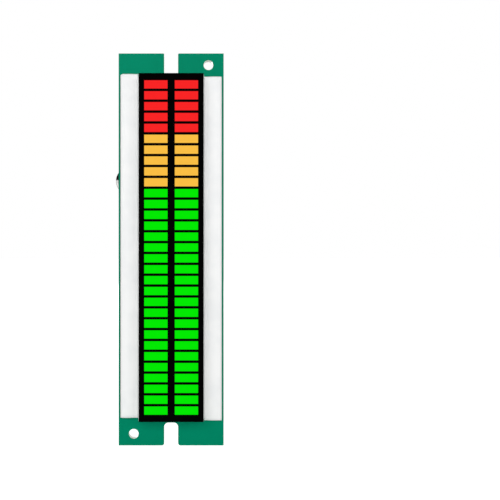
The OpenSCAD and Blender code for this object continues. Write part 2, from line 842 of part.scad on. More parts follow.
module capacitor_can() {
    color([0.85, 0.83, 0.82])
        on_back()
            translate(can_at)
                difference() {
                    rotate_extrude()
                        polygon(concat([[0, sleeve_t]], can_side(0), [[0, can_top]]));
                    bung_shape();
                }
}

module bung_shape() {
    rotate_extrude()
        polygon([
            [0, sleeve_t], [bung_r, sleeve_t], [bung_r, crimp_z - crimp_d],
            [bung_r - crimp_d, crimp_z], [bung_r, crimp_z + crimp_d],
            [bung_r, sleeve_t + bung_h], [0, sleeve_t + bung_h]
        ]);
}

module capacitor_sleeve() {
    fold_r = can_d / 2 - sleeve_fold;
    color([0.06, 0.05, 0.06])
        on_back()
            translate(can_at)
                rotate_extrude()
                    difference() {
                        polygon(concat(
                            [[fold_r, 0], [can_d / 2, 0]], can_side(sleeve_t), [[fold_r, can_h]]
                        ));
                        polygon(concat([[0, sleeve_t]], can_side(0), [[0, can_top]]));
                    }
}

module can_lead_bars() {
    for (p = can_lead_at)
        translate([p[0], p[1], -board_t - lead_out])
            cylinder(d = can_lead_d, h = board_t + lead_out + sleeve_t + bung_h);
}

module capacitor_bung() {
    color([0.12, 0.12, 0.12])
        on_back()
            difference() {
                translate(can_at) bung_shape();
                can_lead_bars();
            }
}

module capacitor_leads() { color("silver") on_back() can_lead_bars(); }

// Header
module header_pin_bars() {
    for (p = header_pin_at)
        translate([p[0], p[1], -board_t - lead_out])
            centred_box(header_pin_w, header_pin_w, board_t + lead_out + header_pin_h);
}

module header_housing() {
    socket_w = header_w - header_wall - header_back_wall;
    socket_x = (header_back_wall - header_wall) / 2;
    color([0.97, 0.94, 0.88])
        on_back()
            difference() {
                translate([header_at[0], header_at[1], 0])
                    difference() {
                        centred_box(header_w, header_l, header_h);
                        translate([socket_x, 0, header_floor])
                            centred_box(socket_w, header_l - 2 * header_wall, header_h);
                        translate([header_pin_off, 0, header_h - key_d])
                            centred_box(key_w, header_l + cut, header_h);
                        translate([header_w / 2, 0, -cut])
                            centred_box(2 * recess_d, recess_l, header_h + 2 * cut);
                    }
                header_pin_bars();
            }
}

module header_contacts() { color([0.85, 0.8, 0.65]) on_back() header_pin_bars(); }

// Transistors and small chips
sot_lean = 0.08;

module transistor_lead_set(at) {
    translate([at[0], at[1], 0])
        rotate(at[2])
            for (lead = [[0, 90], [-1, -90], [1, -90]])
                translate([lead[0] * sot_pitch, 0, 0])
                    rotate(lead[1])
                        gull_lead(sot_w / 2 - smd_lead_t, sot_span / 2, smd_gap + sot_t / 2, sot_lead_w);
}

module transistor_bodies() {
    color([0.12, 0.1, 0.1])
        on_back()
            for (at = transistor_at)
                difference() {
                    translate([at[0], at[1], smd_gap])
                        moulded_body(sot_l, sot_w, sot_t, sot_t / 2, sot_lean);
                    transistor_lead_set(at);
                }
}

module transistor_leads() {
    color("silver") on_back() for (at = transistor_at) transistor_lead_set(at);
}

module small_chip_lead_set(at) {
    lower = at[2] == 3 ? [-1, 0, 1] : [-1, 1];
    leads = concat([for (k = [-1, 0, 1]) [k, 90]], [for (k = lower) [k, -90]]);
    translate([at[0], at[1], 0])
        for (lead = leads)
            translate([lead[0] * sot_pitch, 0, 0])
                rotate(lead[1])
                    gull_lead(
                        small_chip_w / 2 - smd_lead_t, small_chip_span / 2,
                        smd_gap + sot_t / 2, sot_lead_w
                    );
}

module small_chip_bodies() {
    color([0.12, 0.1, 0.1])
        on_back()
            for (at = small_chip_at)
                difference() {
                    translate([at[0], at[1], smd_gap])
                        moulded_body(sot_l, small_chip_w, sot_t, sot_t / 2, sot_lean);
                    small_chip_lead_set(at);
                }
}

module small_chip_leads() {
    color("silver") on_back() for (at = small_chip_at) small_chip_lead_set(at);
}

// Chip resistors and ceramic capacitors
module each_chip(places) {
    on_back() for (at = places) translate([at[0], at[1], 0]) rotate(at[2]) children();
}

module chip_core(t) {
    translate([0, 0, cap_t]) centred_box(chip_l - 2 * cap_t, chip_w, t - 2 * cap_t);
}

module resistor_chips() {
    color("white") each_chip(resistor_at) chip_core(resistor_t);
}

module resistor_coats() {
    color([0.08, 0.08, 0.09])
        each_chip(resistor_at)
            translate([0, 0, resistor_t - cap_t])
                centred_box(chip_l - 2 * cap_l, chip_w, coat_t);
}

module resistor_caps() {
    color("silver")
        each_chip(resistor_at)
            for (side = [-1, 1])
                difference() {
                    translate([side * (chip_l - cap_l) / 2, 0, 0]) centred_box(cap_l, chip_w, resistor_t);
                    chip_core(resistor_t);
                }
}

module ceramic_core() {
    translate([0, 0, cap_t])
        centred_box(chip_l - 2 * cap_t, chip_w - 2 * cap_t, ceramic_t - 2 * cap_t);
}

module ceramic_chips() {
    color([0.72, 0.5, 0.3]) each_chip(ceramic_at) ceramic_core();
}

module ceramic_caps() {
    color("silver")
        each_chip(ceramic_at)
            for (side = [-1, 1])
                difference() {
                    translate([side * (chip_l - cap_l) / 2, 0, 0]) centred_box(cap_l, chip_w, ceramic_t);
                    ceramic_core();
                }
}

// Solder joints: a filled hole and a cone of solder on the side that is soldered
module joint_cone() {
    cylinder(r1 = joint_r, r2 = joint_tip_r, h = joint_h);
    translate([0, 0, -board_t]) cylinder(d = drill_d - touch, h = board_t);
}

module solder_joints() {
    color([0.75, 0.76, 0.78])
        on_back()
            difference() {
                union() {
                    for (p = display_pin_at)
                        translate(p) joint_cone();
                    for (p = front_joints)
                        translate([p[0], p[1], -board_t]) mirror([0, 0, 1]) joint_cone();
                }
                display_pin_bars();
                dip_lead_set();
                for (n = [0:len(trimmer_at) - 1]) trimmer_pin_bars(n);
                can_lead_bars();
                header_pin_bars();
            }
}

circuit_board();
display_housing();
display_face();
inner_board();
rear_potting();
display_pins();
light_dies();
red_bars();
amber_bars();
green_bars();
left_foam_strip();
right_foam_strip();
controller_body();
controller_leads();
driver_body();
driver_leads();
trimmer_housing(0);  // trimmer_1_housing
trimmer_housing(1);  // trimmer_2_housing
trimmer_housing(2);  // trimmer_3_housing
trimmer_rotor(0);  // trimmer_1_rotor
trimmer_rotor(1);  // trimmer_2_rotor
trimmer_rotor(2);  // trimmer_3_rotor
trimmer_wiper(0);  // trimmer_1_wiper
trimmer_wiper(1);  // trimmer_2_wiper
trimmer_wiper(2);  // trimmer_3_wiper
trimmer_elements();
trimmer_pins();
capacitor_can();
capacitor_sleeve();
capacitor_bung();
capacitor_leads();
header_housing();
header_contacts();
transistor_bodies();
transistor_leads();
small_chip_bodies();
small_chip_leads();
resistor_chips();
resistor_coats();
resistor_caps();
ceramic_chips();
ceramic_caps();
solder_joints();
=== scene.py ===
# LED level meter module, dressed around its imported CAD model. Sizes are in millimetres
# unless a comment says metres. Places on the back of the circuit board are (right, up),
# seen from behind, with heights measured outward from its back face.
import math

import bmesh
import bpy
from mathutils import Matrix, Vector, noise


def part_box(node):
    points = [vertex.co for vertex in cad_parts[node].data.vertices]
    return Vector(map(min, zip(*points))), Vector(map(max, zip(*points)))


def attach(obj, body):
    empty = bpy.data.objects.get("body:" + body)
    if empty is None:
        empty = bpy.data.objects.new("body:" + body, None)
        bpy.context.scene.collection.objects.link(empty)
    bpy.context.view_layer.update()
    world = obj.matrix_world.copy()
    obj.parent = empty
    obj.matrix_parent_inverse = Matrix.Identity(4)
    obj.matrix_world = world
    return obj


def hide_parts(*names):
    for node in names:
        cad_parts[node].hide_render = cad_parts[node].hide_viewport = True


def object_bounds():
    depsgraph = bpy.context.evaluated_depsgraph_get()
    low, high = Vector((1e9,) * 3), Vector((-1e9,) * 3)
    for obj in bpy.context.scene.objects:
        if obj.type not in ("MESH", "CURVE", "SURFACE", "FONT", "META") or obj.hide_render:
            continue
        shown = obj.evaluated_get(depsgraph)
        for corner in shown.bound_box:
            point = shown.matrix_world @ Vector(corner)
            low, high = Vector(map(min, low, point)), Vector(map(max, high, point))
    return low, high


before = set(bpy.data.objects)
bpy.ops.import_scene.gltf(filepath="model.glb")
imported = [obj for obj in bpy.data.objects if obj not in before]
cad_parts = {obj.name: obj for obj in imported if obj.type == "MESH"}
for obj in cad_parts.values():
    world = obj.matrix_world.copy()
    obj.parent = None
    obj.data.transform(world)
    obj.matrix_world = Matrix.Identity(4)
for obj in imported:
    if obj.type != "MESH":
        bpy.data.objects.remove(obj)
cad_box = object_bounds()

# Camera and setting. The camera looks straight at the display, shifted so that the module
# stands where it does in the picture, on its lower edge on a pale floor. It is lit softly
# in front, and more from one side behind. Lamps and floor are placed in metres.
MM = 0.001
VIEW_DISTANCE = 155
FRAME_WIDTH = 107.15
SENSOR_WIDTH = 36


def add_object(name, data):
    added = bpy.data.objects.new(name, data)
    bpy.context.scene.collection.objects.link(added)
    return added


camera_data = bpy.data.cameras.new("camera")
camera_data.sensor_width = SENSOR_WIDTH
camera_data.lens = SENSOR_WIDTH * VIEW_DISTANCE / FRAME_WIDTH
camera_data.shift_x = 0.1577
camera_data.shift_y = -0.0011
camera_data.clip_start = 0.01
camera = add_object("camera", camera_data)
camera.location = (0, -VIEW_DISTANCE * MM, 0)
camera.rotation_euler = (math.radians(90), 0, 0)
bpy.context.scene.camera = camera
bpy.context.scene.view_settings.view_transform = "Standard"


def feed(tree, node, inputs):
    """Sets a node's inputs, each to a number, a colour or another node's output."""
    for label, value in inputs.items():
        if isinstance(value, bpy.types.NodeSocket):
            tree.links.new(value, node.inputs[label])
        else:
            node.inputs[label].default_value = value


def add_node(tree, kind, inputs=None, **settings):
    """A shader node of a kind, with its settings and its inputs."""
    node = tree.nodes.new("ShaderNode" + kind)
    for setting, value in settings.items():
        setattr(node, setting, value)
    feed(tree, node, inputs or {})
    return node


def maths(tree, operation, *values):
    """The result of a Math node."""
    return add_node(tree, "Math", dict(enumerate(values)), operation=operation).outputs[0]


def shown_or_mirrored(tree):
    """1 for what the camera sees directly, in a gloss or through glass, and 0 otherwise."""
    ray = add_node(tree, "LightPath").outputs
    seen = maths(tree, "MAXIMUM", ray["Is Camera Ray"], ray["Is Glossy Ray"])
    return maths(tree, "MAXIMUM", seen, ray["Is Transmission Ray"])


def light_the_world(soft_light):
    world = bpy.data.worlds.new("studio")
    bpy.context.scene.world = world
    world.use_nodes = True
    tree = world.node_tree
    strength = maths(tree, "MULTIPLY_ADD", shown_or_mirrored(tree), 1 - soft_light, soft_light)
    feed(tree, tree.nodes["Background"], {"Color": (1, 1, 1, 1), "Strength": strength})


def add_lamp(name, place, power, size):
    data = bpy.data.lights.new(name, "AREA")
    data.energy = power
    data.size = size
    lamp = add_object(name, data)
    lamp.location = place
    lamp.rotation_euler = (-Vector(place)).to_track_quat("-Z", "Y").to_euler()


def new_material(name):
    material = bpy.data.materials.new(name)
    material.use_nodes = True
    return material


def set_shader(material, inputs):
    feed(material.node_tree, material.node_tree.nodes["Principled BSDF"], inputs)


def lay_floor(grey, lift, reach):
    material = new_material("floor")
    tree = material.node_tree
    set_shader(material, {
        "Base Color": (grey, grey, grey, 1),
        "Roughness": 0.9,
        "Specular IOR Level": 0.1,
        "Emission Color": (1, 1, 1, 1),
        "Emission Strength": maths(tree, "MULTIPLY", shown_or_mirrored(tree), lift),
    })
    mesh = bpy.data.meshes.new("floor")
    corners = ((-reach, -reach), (reach, -reach), (reach, reach), (-reach, reach))
    mesh.from_pydata([(*corner, cad_box[0].z) for corner in corners], [], [(0, 1, 2, 3)])
    mesh.materials.append(material)
    add_object("floor", mesh)


light_the_world(soft_light=0.25)
add_lamp("front_left", (-0.17, -0.74, 0.2), power=2.75, size=0.42)
add_lamp("front_right", (0.22, -0.74, 0.1), power=2.05, size=0.42)
add_lamp("back_left", (0.3, 0.7, 0.22), power=0.7, size=0.42)
add_lamp("back_right", (-0.27, 0.65, 0.0), power=3.5, size=0.16)
lay_floor(grey=0.8, lift=0.85, reach=3.0)

# Circuit board. A plate of woven glass and epoxy, green on both faces with a glossy
# solder-stop lacquer, pale and fibrous at its sawn edges. Some light comes through it, so
# its back looks darker where the black display and the foam lie on the other side.
DARK_TO, DARK_FADES_BY = 5, 19.5
DARK_BELOW, DARK_EDGE = 1, 2.2
FRONT_TINT = 0.6
PATCH_DETAIL, GRAIN_DETAIL = 3.0, 2.0
PATCH_FADE = (0.35, 0.65)
HOLE_AREA = (("X", -11.2, 11.2, 0.02), ("Z", -36.5, 37.4, 0.1))
display_low, display_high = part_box("display_face")


def shader_group(name, given=(), made=("Mask",)):
    """Turns the function below it into a shader node group. The function adds the nodes
    between what the group is given and the values that it makes."""
    def make(build):
        group = bpy.data.node_groups.new(name, "ShaderNodeTree")
        for direction, labels in (("INPUT", given), ("OUTPUT", made)):
            for label in labels:
                kind = "NodeSocketColor" if "colour" in label.lower() else "NodeSocketFloat"
                group.interface.new_socket(label, in_out=direction, socket_type=kind)
        values = build(group, group.nodes.new("NodeGroupInput").outputs)
        feed(group, group.nodes.new("NodeGroupOutput"), dict(zip(made, values)))
        return group
    return make


def place_group(material, group, **values):
    """Puts a group in a material with its own values, and gives its outputs."""
    inputs = {label.replace("_", " ").capitalize(): value for label, value in values.items()}
    return add_node(material.node_tree, "Group", inputs, node_tree=group).outputs


def mask_of(material, group, **values):
    return place_group(material, group, **values)["Mask"]


def axes_of(tree, kind="Object"):
    """X, Y and Z of a point of the surface, or of the way that it faces."""
    place = add_node(tree, "TexCoord").outputs[kind]
    return add_node(tree, "SeparateXYZ", {0: place}).outputs


def facing_back(tree):
    """1 where a surface faces straight back, 0 where it faces sideways and -1 in front."""
    return axes_of(tree, "Normal")["Y"]


def fade(tree, value, start, end):
    """0 where value is at start and 1 where it is at end, with a smooth change between."""
    inputs = {"Value": value, "From Min": start, "From Max": end}
    return add_node(tree, "MapRange", inputs, interpolation_type="SMOOTHSTEP").outputs["Result"]


def between(tree, value, low, high, edge):
    """1 where value lies between low and high, with soft edges."""
    away = maths(tree, "ABSOLUTE", maths(tree, "SUBTRACT", value, (low + high) / 2))
    half = (high - low) / 2
    return fade(tree, away, half + edge, half - edge)


def all_of(tree, first, *others):
    """The product of some masks, 1 where all of them are."""
    for other in others:
        first = maths(tree, "MULTIPLY", first, other)
    return first


def mixed(tree, factor, first, second):
    """A colour that goes from the first to the second as the factor goes from 0 to 1."""
    inputs = {"Factor": factor, "A": first, "B": second}
    return add_node(tree, "Mix", inputs, data_type="RGBA").outputs["Result"]


@shader_group(
    "uneven surface",
    ("Colour", "Patch colour", "Patch size", "Grain size", "Roughness", "Roughness spread"),
    ("Colour", "Roughness", "Height"),
)
def uneven_surface(group, given):
    """Varies a colour in soft patches, and gives a fine grain for roughness and bump."""
    place = add_node(group, "TexCoord").outputs["Object"]
    noises = []
    for size, detail in (("Patch size", PATCH_DETAIL), ("Grain size", GRAIN_DETAIL)):
        scale = maths(group, "DIVIDE", 1 / MM, given[size])
        inputs = {"Vector": place, "Scale": scale, "Detail": detail}
        noises.append(add_node(group, "TexNoise", inputs).outputs["Fac"])
    patch, grain = noises
    blend = fade(group, patch, *PATCH_FADE)
    colour = mixed(group, blend, given["Colour"], given["Patch colour"])
    away = maths(group, "SUBTRACT", grain, 0.5)
    spread = maths(group, "MULTIPLY", away, given["Roughness spread"])
    return colour, maths(group, "ADD", spread, given["Roughness"]), grain


def finish(
    name, colour, patch_colour, patch=2.0, grain=0.1, rough=0.5,
    spread=0.1, depth=0.004, metal=0.0, gloss=0.3,
):
    """A material with an uneven colour, roughness and bump. Sizes and depth are in mm."""
    material = new_material(name)
    surface = place_group(
        material, uneven_surface, colour=(*colour, 1), patch_colour=(*patch_colour, 1),
        patch_size=patch, grain_size=grain, roughness=rough, roughness_spread=spread,
    )
    bump = {"Strength": 1.0, "Distance": depth * MM, "Height": surface["Height"]}
    set_shader(material, {
        "Metallic": metal,
        "Specular IOR Level": gloss,
        "Base Color": surface["Colour"],
        "Roughness": surface["Roughness"],
        "Normal": add_node(material.node_tree, "Bump", bump).outputs["Normal"],
    })
    return material


def stain(material, colour, *masks):
    """Lays another colour over a finish where all the masks are 1."""
    tree = material.node_tree
    base = tree.nodes["Principled BSDF"].inputs["Base Color"]
    below = base.links[0].from_socket
    tree.links.new(mixed(tree, all_of(tree, *masks), below, (*colour, 1)), base)


def dress(node, material):
    """Gives a CAD node its finish."""
    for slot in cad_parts[node].material_slots:
        slot.material = material


@shader_group("squareness to the board", ("Start", "End"))
def squareness(group, given):
    """Fades by how squarely a surface faces the front or the back of the board."""
    facing = maths(group, "ABSOLUTE", facing_back(group))
    return [fade(group, facing, given["Start"], given["End"])]


@shader_group("behind the display")
def behind_display(group, given):
    """How far the black display shuts the light out, on the back."""
    axes = axes_of(group)
    from_middle = maths(group, "ABSOLUTE", axes["X"])
    across = fade(group, from_middle, DARK_FADES_BY * MM, DARK_TO * MM)
    bottom = display_low.z - DARK_BELOW * MM
    along = between(group, axes["Z"], bottom, display_high.z, DARK_EDGE * MM)
    turned_back = fade(group, facing_back(group), -0.3, 0.3)
    return [all_of(group, across, along, turned_back)]


def make_board_lacquer():
    """The board's finish. Its front is a little bluer than its back. The sawn edges are pale,
    and the walls of its small holes are painted dark as shade."""
    material = finish(
        "green lacquer", (0.0005, 0.234, 0.099), (0.0005, 0.194, 0.076), 14, 0.35, 0.3,
        depth=0.002, gloss=0.007,
    )
    tree = material.node_tree
    axes = axes_of(tree)
    turned_front = fade(tree, facing_back(tree), 0.3, -0.3)
    walls = mask_of(material, squareness, start=0.6, end=0.4)
    by_holes = [
        between(tree, axes[axis], low * MM, high * MM, edge * MM)
        for axis, low, high, edge in HOLE_AREA
    ]
    stain(material, (0.0005, 0.237, 0.148), turned_front, FRONT_TINT)
    stain(material, (0.003, 0.056, 0.016), mask_of(material, behind_display))
    stain(material, (0.94, 0.95, 0.9), walls)
    # Painted shade: the walls of the holes inside the board are painted dark.
    stain(material, (0.045, 0.045, 0.04), walls, *by_holes)
    return material


board_lacquer = make_board_lacquer()
dress("circuit_board", board_lacquer)

# Copper tracks. Lines etched from copper foil under the lacquer. They show as paler green,
# and stand a little proud because the lacquer runs over them.
BACK_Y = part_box("circuit_board")[1].y / MM
FOIL = 0.035
TRACK_SIZE = (0.26, 0.6 * FOIL)
WIDE_TRACK_SIZE = (0.45, 0.9 * FOIL)
SHARPEST_MITRE = 0.5
CROSSING_RISE = 0.3
TRACKS = [
    [(-8.1, 28.85), (-8.1, 24.9)],
    [(2.75, 32.35), (1, 31), (1, 29.25)],
    [(-5.35, 26.65), (-5.35, 25), (-4.8, 24.45)],
    [(4.95, 25.55), (6.45, 27.05), (8.3, 27.05)],
    [(4.6, 23), (6.25, 24.35), (7.35, 24.2), (8.3, 23.8)],
    [(-10.15, 14.8), (-9.05, 15.65), (-8.2, 15.65), (-7.65, 15.15)],
    [(-8.05, 11.75), (-5.95, 11.75)],
    [(-7.75, 5.2), (-9, 5.2), (-9.05, 8.15), (-7.5, 9.8), (-6, 10.15)],
    [(-10.7, 11.1), (-10.65, 3.95), (-8.55, 1.85), (-7.25, 1.85)],
    [(-3.6, 10.45), (-2.5, 11.55), (-0.45, 11.55)],
    [(-4.25, 14.15), (-3.15, 13.05)],
    [(-9.4, -2.9), (-8.1, -4.3)],
    [(-8.75, -11.1), (-7, -11.1)],
    [(-0.3, -11.1), (1.2, -11.1)],
    [(-7.45, -5.85), (-8.75, -7.35)],
    [(-5.5, -18.15), (-6.35, -19.4), (-6.65, -19.85)],
    [(-5.5, -21.15), (-5.7, -22.45), (-7, -24.15), (-7.85, -24.6), (-7.95, -26.5), (-7.5, -29.1),
     (-5.7, -29.1)],
    [(9.35, -24.7), (10.4, -25.75), (10.6, -26.95)],
    [(10.4, 0.9), (10.4, -2.8), (9.55, -3.75)],
    [(5.85, -6.9), (5.9, -8.75), (8.55, -8.8), (10.45, -10.8), (10.45, -12.2)],
    [(4.5, -28.6), (4.7, -31)],
    [(-3.95, 35.7), (6, 35.7)],
]
WIDE_TRACKS = [
    [(-1, 32.3), (-1, 26.6)],
    [(-0.1, 32.3), (-0.1, 28.85)],
    [(-0.35, 25.3), (-0.35, 20.9)],
    [(0.65, 25.6), (0.65, 20.9)],
    [(5.65, -6.9), (5.6, -16.2)],
    [(-10.75, -18.8), (-10.75, -26.1)],
    [(-4.3, -24.6), (-4.2, -26.4)],
    [(9.4, 21.2), (9.4, 19.9)],
]


def on_back(point):
    """A place on the back of the board, (right, up, out) in mm, as a point in metres."""
    right, up, out = point
    return Vector((-right, BACK_Y + out, up)) * MM


def make_piece(name, shapes, material, smooth=False, place=on_back):
    """Joins (points, faces) shapes into one piece that rides on the board."""
    points, faces = [], []
    for shape_points, shape_faces in shapes:
        start = len(points)
        points += [place(p) for p in shape_points]
        faces += [tuple(start + i for i in face) for face in shape_faces]
    mesh = bpy.data.meshes.new(name)
    mesh.from_pydata(points, [], faces)
    work = bmesh.new()
    work.from_mesh(mesh)
    bmesh.ops.dissolve_degenerate(work, dist=1e-8, edges=work.edges)
    bmesh.ops.recalc_face_normals(work, faces=work.faces)
    for face in work.faces:
        face.smooth = smooth
    work.to_mesh(mesh)
    work.free()
    mesh.materials.append(material)
    piece = add_object(name, mesh)
    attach(piece, "board")
    return piece


def lofted(rows, round_each=True, round_all=False):
    """A skin over rows of points. Each row may be closed into a loop, and the last row joined
    to the first."""
    points = [point for row in rows for point in row]
    count = len(rows[0])
    faces = []
    for here in range(0, len(points) if round_all else len(points) - count, count):
        onward = (here + count) % len(points)
        for i in range(count if round_each else count - 1):
            j = (i + 1) % count
            faces.append((here + i, here + j, onward + j, onward + i))
    return points, faces


def capped(rows):
    """A skin over rows of points, closed at both ends."""
    points, faces = lofted(rows)
    count = len(rows[0])
    return points, faces + [tuple(range(count)), tuple(range(len(points) - count, len(points)))]


def ribbon(points, width, height, closed=False):
    """A flat band on the board along a line of (right, up) points, with mitred corners."""
    line = [Vector(p) for p in points]
    rows = []
    for i, point in enumerate(line):
        before = line[i - 1] if closed or i > 0 else None
        after = line[(i + 1) % len(line)] if closed or i < len(line) - 1 else None
        ways = [w.normalized() for w in (before and point - before, after and after - point) if w]
        way = sum(ways, Vector((0, 0))).normalized()
        side = Vector((-way.y, way.x))
        reach = width / 2 / max(SHARPEST_MITRE, way.dot(ways[0]))
        corners = ((1, 0), (-1, 0), (-1, height), (1, height))
        rows.append([(*(point + side * reach * sign), out) for sign, out in corners])
    return lofted(rows, round_all=True) if closed else capped(rows)


def bands(lines, width, height, closed=False):
    """Ribbons that may cross: each a hair higher than the last, so that no two tops meet."""
    heights = [height * (1 + CROSSING_RISE * k / len(lines)) for k in range(len(lines))]
    return [ribbon(line, width, high, closed) for line, high in zip(lines, heights)]


green_copper = finish(
    "lacquer over copper", (0.075, 0.37, 0.14), (0.055, 0.31, 0.115), 4, 0.3, 0.28,
    depth=0.002, gloss=0.02,
)
stain(green_copper, (0.029, 0.17, 0.056), mask_of(green_copper, behind_display))
track_bands = bands(TRACKS, *TRACK_SIZE) + bands(WIDE_TRACKS, *WIDE_TRACK_SIZE)
make_piece("copper_tracks", track_bands, green_copper)

# Plated rings. Each lead hole and via is plated through, and its ring of copper is left
# open in the lacquer and dipped in solder. Holes with no part on them stay open.
SPARE_HOLES = [(-8.2, 23.5), (-8.2, 21.1)] + [(4.95, up) for up in (19.8, 12.3, 10.1, 2.7)]
WIDE_HOLES = [(-3.85 + 2.54 * k, 33.3) for k in range(4)] + [(-6.6, 33.9), (6.2, 33.9)]
FILLED_HOLES = [(-8, 36.7), (-5.46, 36.7)]
VIAS = [
    (10.4, 22.8), (-5.3, 27.5), (1.4, 28.1), (5.2, 27.3), (-10.2, 30), (-9.4, 9.8), (10.4, -16.2),
    (10.3, -30.9), (5.7, -29.5), (0.2, 25.7), (-1.4, 23.3), (-1.1, 21.8), (5.6, 21.8), (-5, 18.6),
    (-3, 12.6), (-1, 12.6), (-0.9, 10.2), (1.2, -13.5), (-9.5, -21.2), (-10.2, -26.1), (-9.7, -31),
    (2.8, -30), (3.8, 4.1), (2.73, -22.58),
]
SPARE_RING = {"hole": 0.66, "crest": 0.56, "outer": 1.44, "rise": 0.09}
WIDE_RING = {"hole": 0.92, "crest": 0.62, "outer": 1.46, "rise": 0.085}
FILLED_RING = {"hole": 0.9, "crest": 0.6, "outer": 1.45, "rise": 0.085}
VIA_RING = {"hole": 0.44, "crest": 0.41, "outer": 1.08, "rise": 0.12}
CREST_HALF_WIDTH = 0.06
PLATING = 0.02
PLATING_DEPTH = 0.3
PLUG_END = 0.2 - BACK_Y
PLUG_SHOULDER = -0.1
PLUG_DISH = ((0.7, -0.05), (0.3, -0.12), (0, -0.13))
CAP_END = 0.15 - BACK_Y
TURNED_STEPS = 24


def round_about(centre, radius, turn):
    """A point at a radius from a centre, after a share of a whole turn."""
    angle = 2 * math.pi * turn
    return centre[0] + radius * math.cos(angle), centre[1] + radius * math.sin(angle)


def turned(profile, centre, closed=True):
    """A shape turned from a (radius, height) profile, round a place on the board."""
    rows = [
        [(*round_about(centre, radius, step / TURNED_STEPS), out) for radius, out in profile]
        for step in range(TURNED_STEPS)
    ]
    return lofted(rows, round_each=closed, round_all=True)


def ring_crest(crest, outer, rise):
    top = [(crest + CREST_HALF_WIDTH, rise), (crest - CREST_HALF_WIDTH, rise)]
    return [(outer / 2, 0), (outer / 2, FOIL)] + top


def hole_ring(centre, hole, **sizes):
    """The plated ring round a hole. Its solder stands in a crest and turns down into it."""
    inner = hole / 2 - PLATING
    return turned([(inner, -PLATING_DEPTH), *ring_crest(**sizes), (inner, -PLATING)], centre)


def filled_ring(centre, hole, **sizes):
    """A plated ring whose hole is closed by a dished plug of solder."""
    inner = hole / 2 - PLATING
    plug = [(0, PLUG_END), (inner, PLUG_END), (inner, PLUG_SHOULDER)]
    dish = [(share * inner, out) for share, out in PLUG_DISH]
    return turned(plug + ring_crest(**sizes) + dish, centre, closed=False)


def lacquer_cap(centre):
    """The lacquer that closes a filled hole on the front."""
    reach = FILLED_RING["hole"] / 2 - PLATING
    profile = [(0, -BACK_Y), (reach, -BACK_Y), (reach, CAP_END), (0, CAP_END)]
    return turned(profile, centre, closed=False)


def height_out(tree):
    """How far a point stands out from the back of the board, in mm."""
    return maths(tree, "MULTIPLY_ADD", axes_of(tree)["Y"], 1 / MM, -BACK_Y)


@shader_group("height over the board", ("Start", "End"))
def height_over_board(group, given):
    """Fades by how far a surface stands out from the back of the board, in mm."""
    return [fade(group, height_out(group), given["Start"], given["End"])]


def solder_with_painted_glints(name, hollows, patches, crests, start, end):
    """Solder with painted reflections: dark in its hollows, with a painted highlight on its crests.
    """
    material = finish(name, hollows, patches, 0.4, 0.2, 0.3, spread=0.2, depth=0.006, metal=1.0)
    stain(material, crests, mask_of(material, height_over_board, start=start, end=end))
    return material


def solder_piece(name, shapes, material):
    """A piece of solder that froze with no sharp edges."""
    return make_piece(name, shapes, material, smooth=True)


ring_solder = solder_with_painted_glints(
    "ring solder", (0.045, 0.07, 0.065), (0.07, 0.095, 0.085), (0.5, 0.56, 0.5), 0.03, 0.11
)
rings = [hole_ring(place, **SPARE_RING) for place in SPARE_HOLES]
rings += [hole_ring(place, **WIDE_RING) for place in WIDE_HOLES]
rings += [filled_ring(place, **FILLED_RING) for place in FILLED_HOLES]
rings += [hole_ring(place, **VIA_RING) for place in VIAS]
solder_piece("plated_rings", rings, ring_solder)
hole_caps = [lacquer_cap(place) for place in FILLED_HOLES]
make_piece("front_hole_caps", hole_caps, board_lacquer)

# Tinned pads. Places for parts that this version leaves out. Each pad was dipped and
# carries a low bead of solder, which froze in crests at its edges or as a bridge.
BEAD_CELLS = 10
SOLDER_COAT = 0.03
CORNER_ROUNDING = 0.12
BEAD_STEEPNESS = 6
RIPPLES_PER_MM, RIPPLE_PLANE, RIPPLE_DEPTH = 3, 5, 0.5
LEGS = ((-0.5, -0.45, 0.36, 0.5, 0.16), (0.5, -0.45, 0.36, 0.5, 0.16))
ARMS = ((-0.55, -0.05, 0.3, 0.75, 0.16), (0.55, -0.05, 0.3, 0.75, 0.16))
TENT = ((-0.4, -0.5, 0.5, 0.4, 0.14), (0.25, 0.0, 0.35, 0.6, 0.16), (0.6, -0.5, 0.4, 0.4, 0.14))
ENDS = ((-0.7, 0, 0.25, 0.9, 0.16), (0.7, 0, 0.25, 0.9, 0.16))
ARCH = ((0, 0.5, 0.85, 0.3, 0.16), (-0.8, 0, 0.15, 0.8, 0.16), (0.8, 0, 0.15, 0.8, 0.16))
FULL = ((0, 0, 0.8, 0.8, 0.16),)
SPOT = ((0.45, -0.1, 0.25, 0.3, 0.14),)
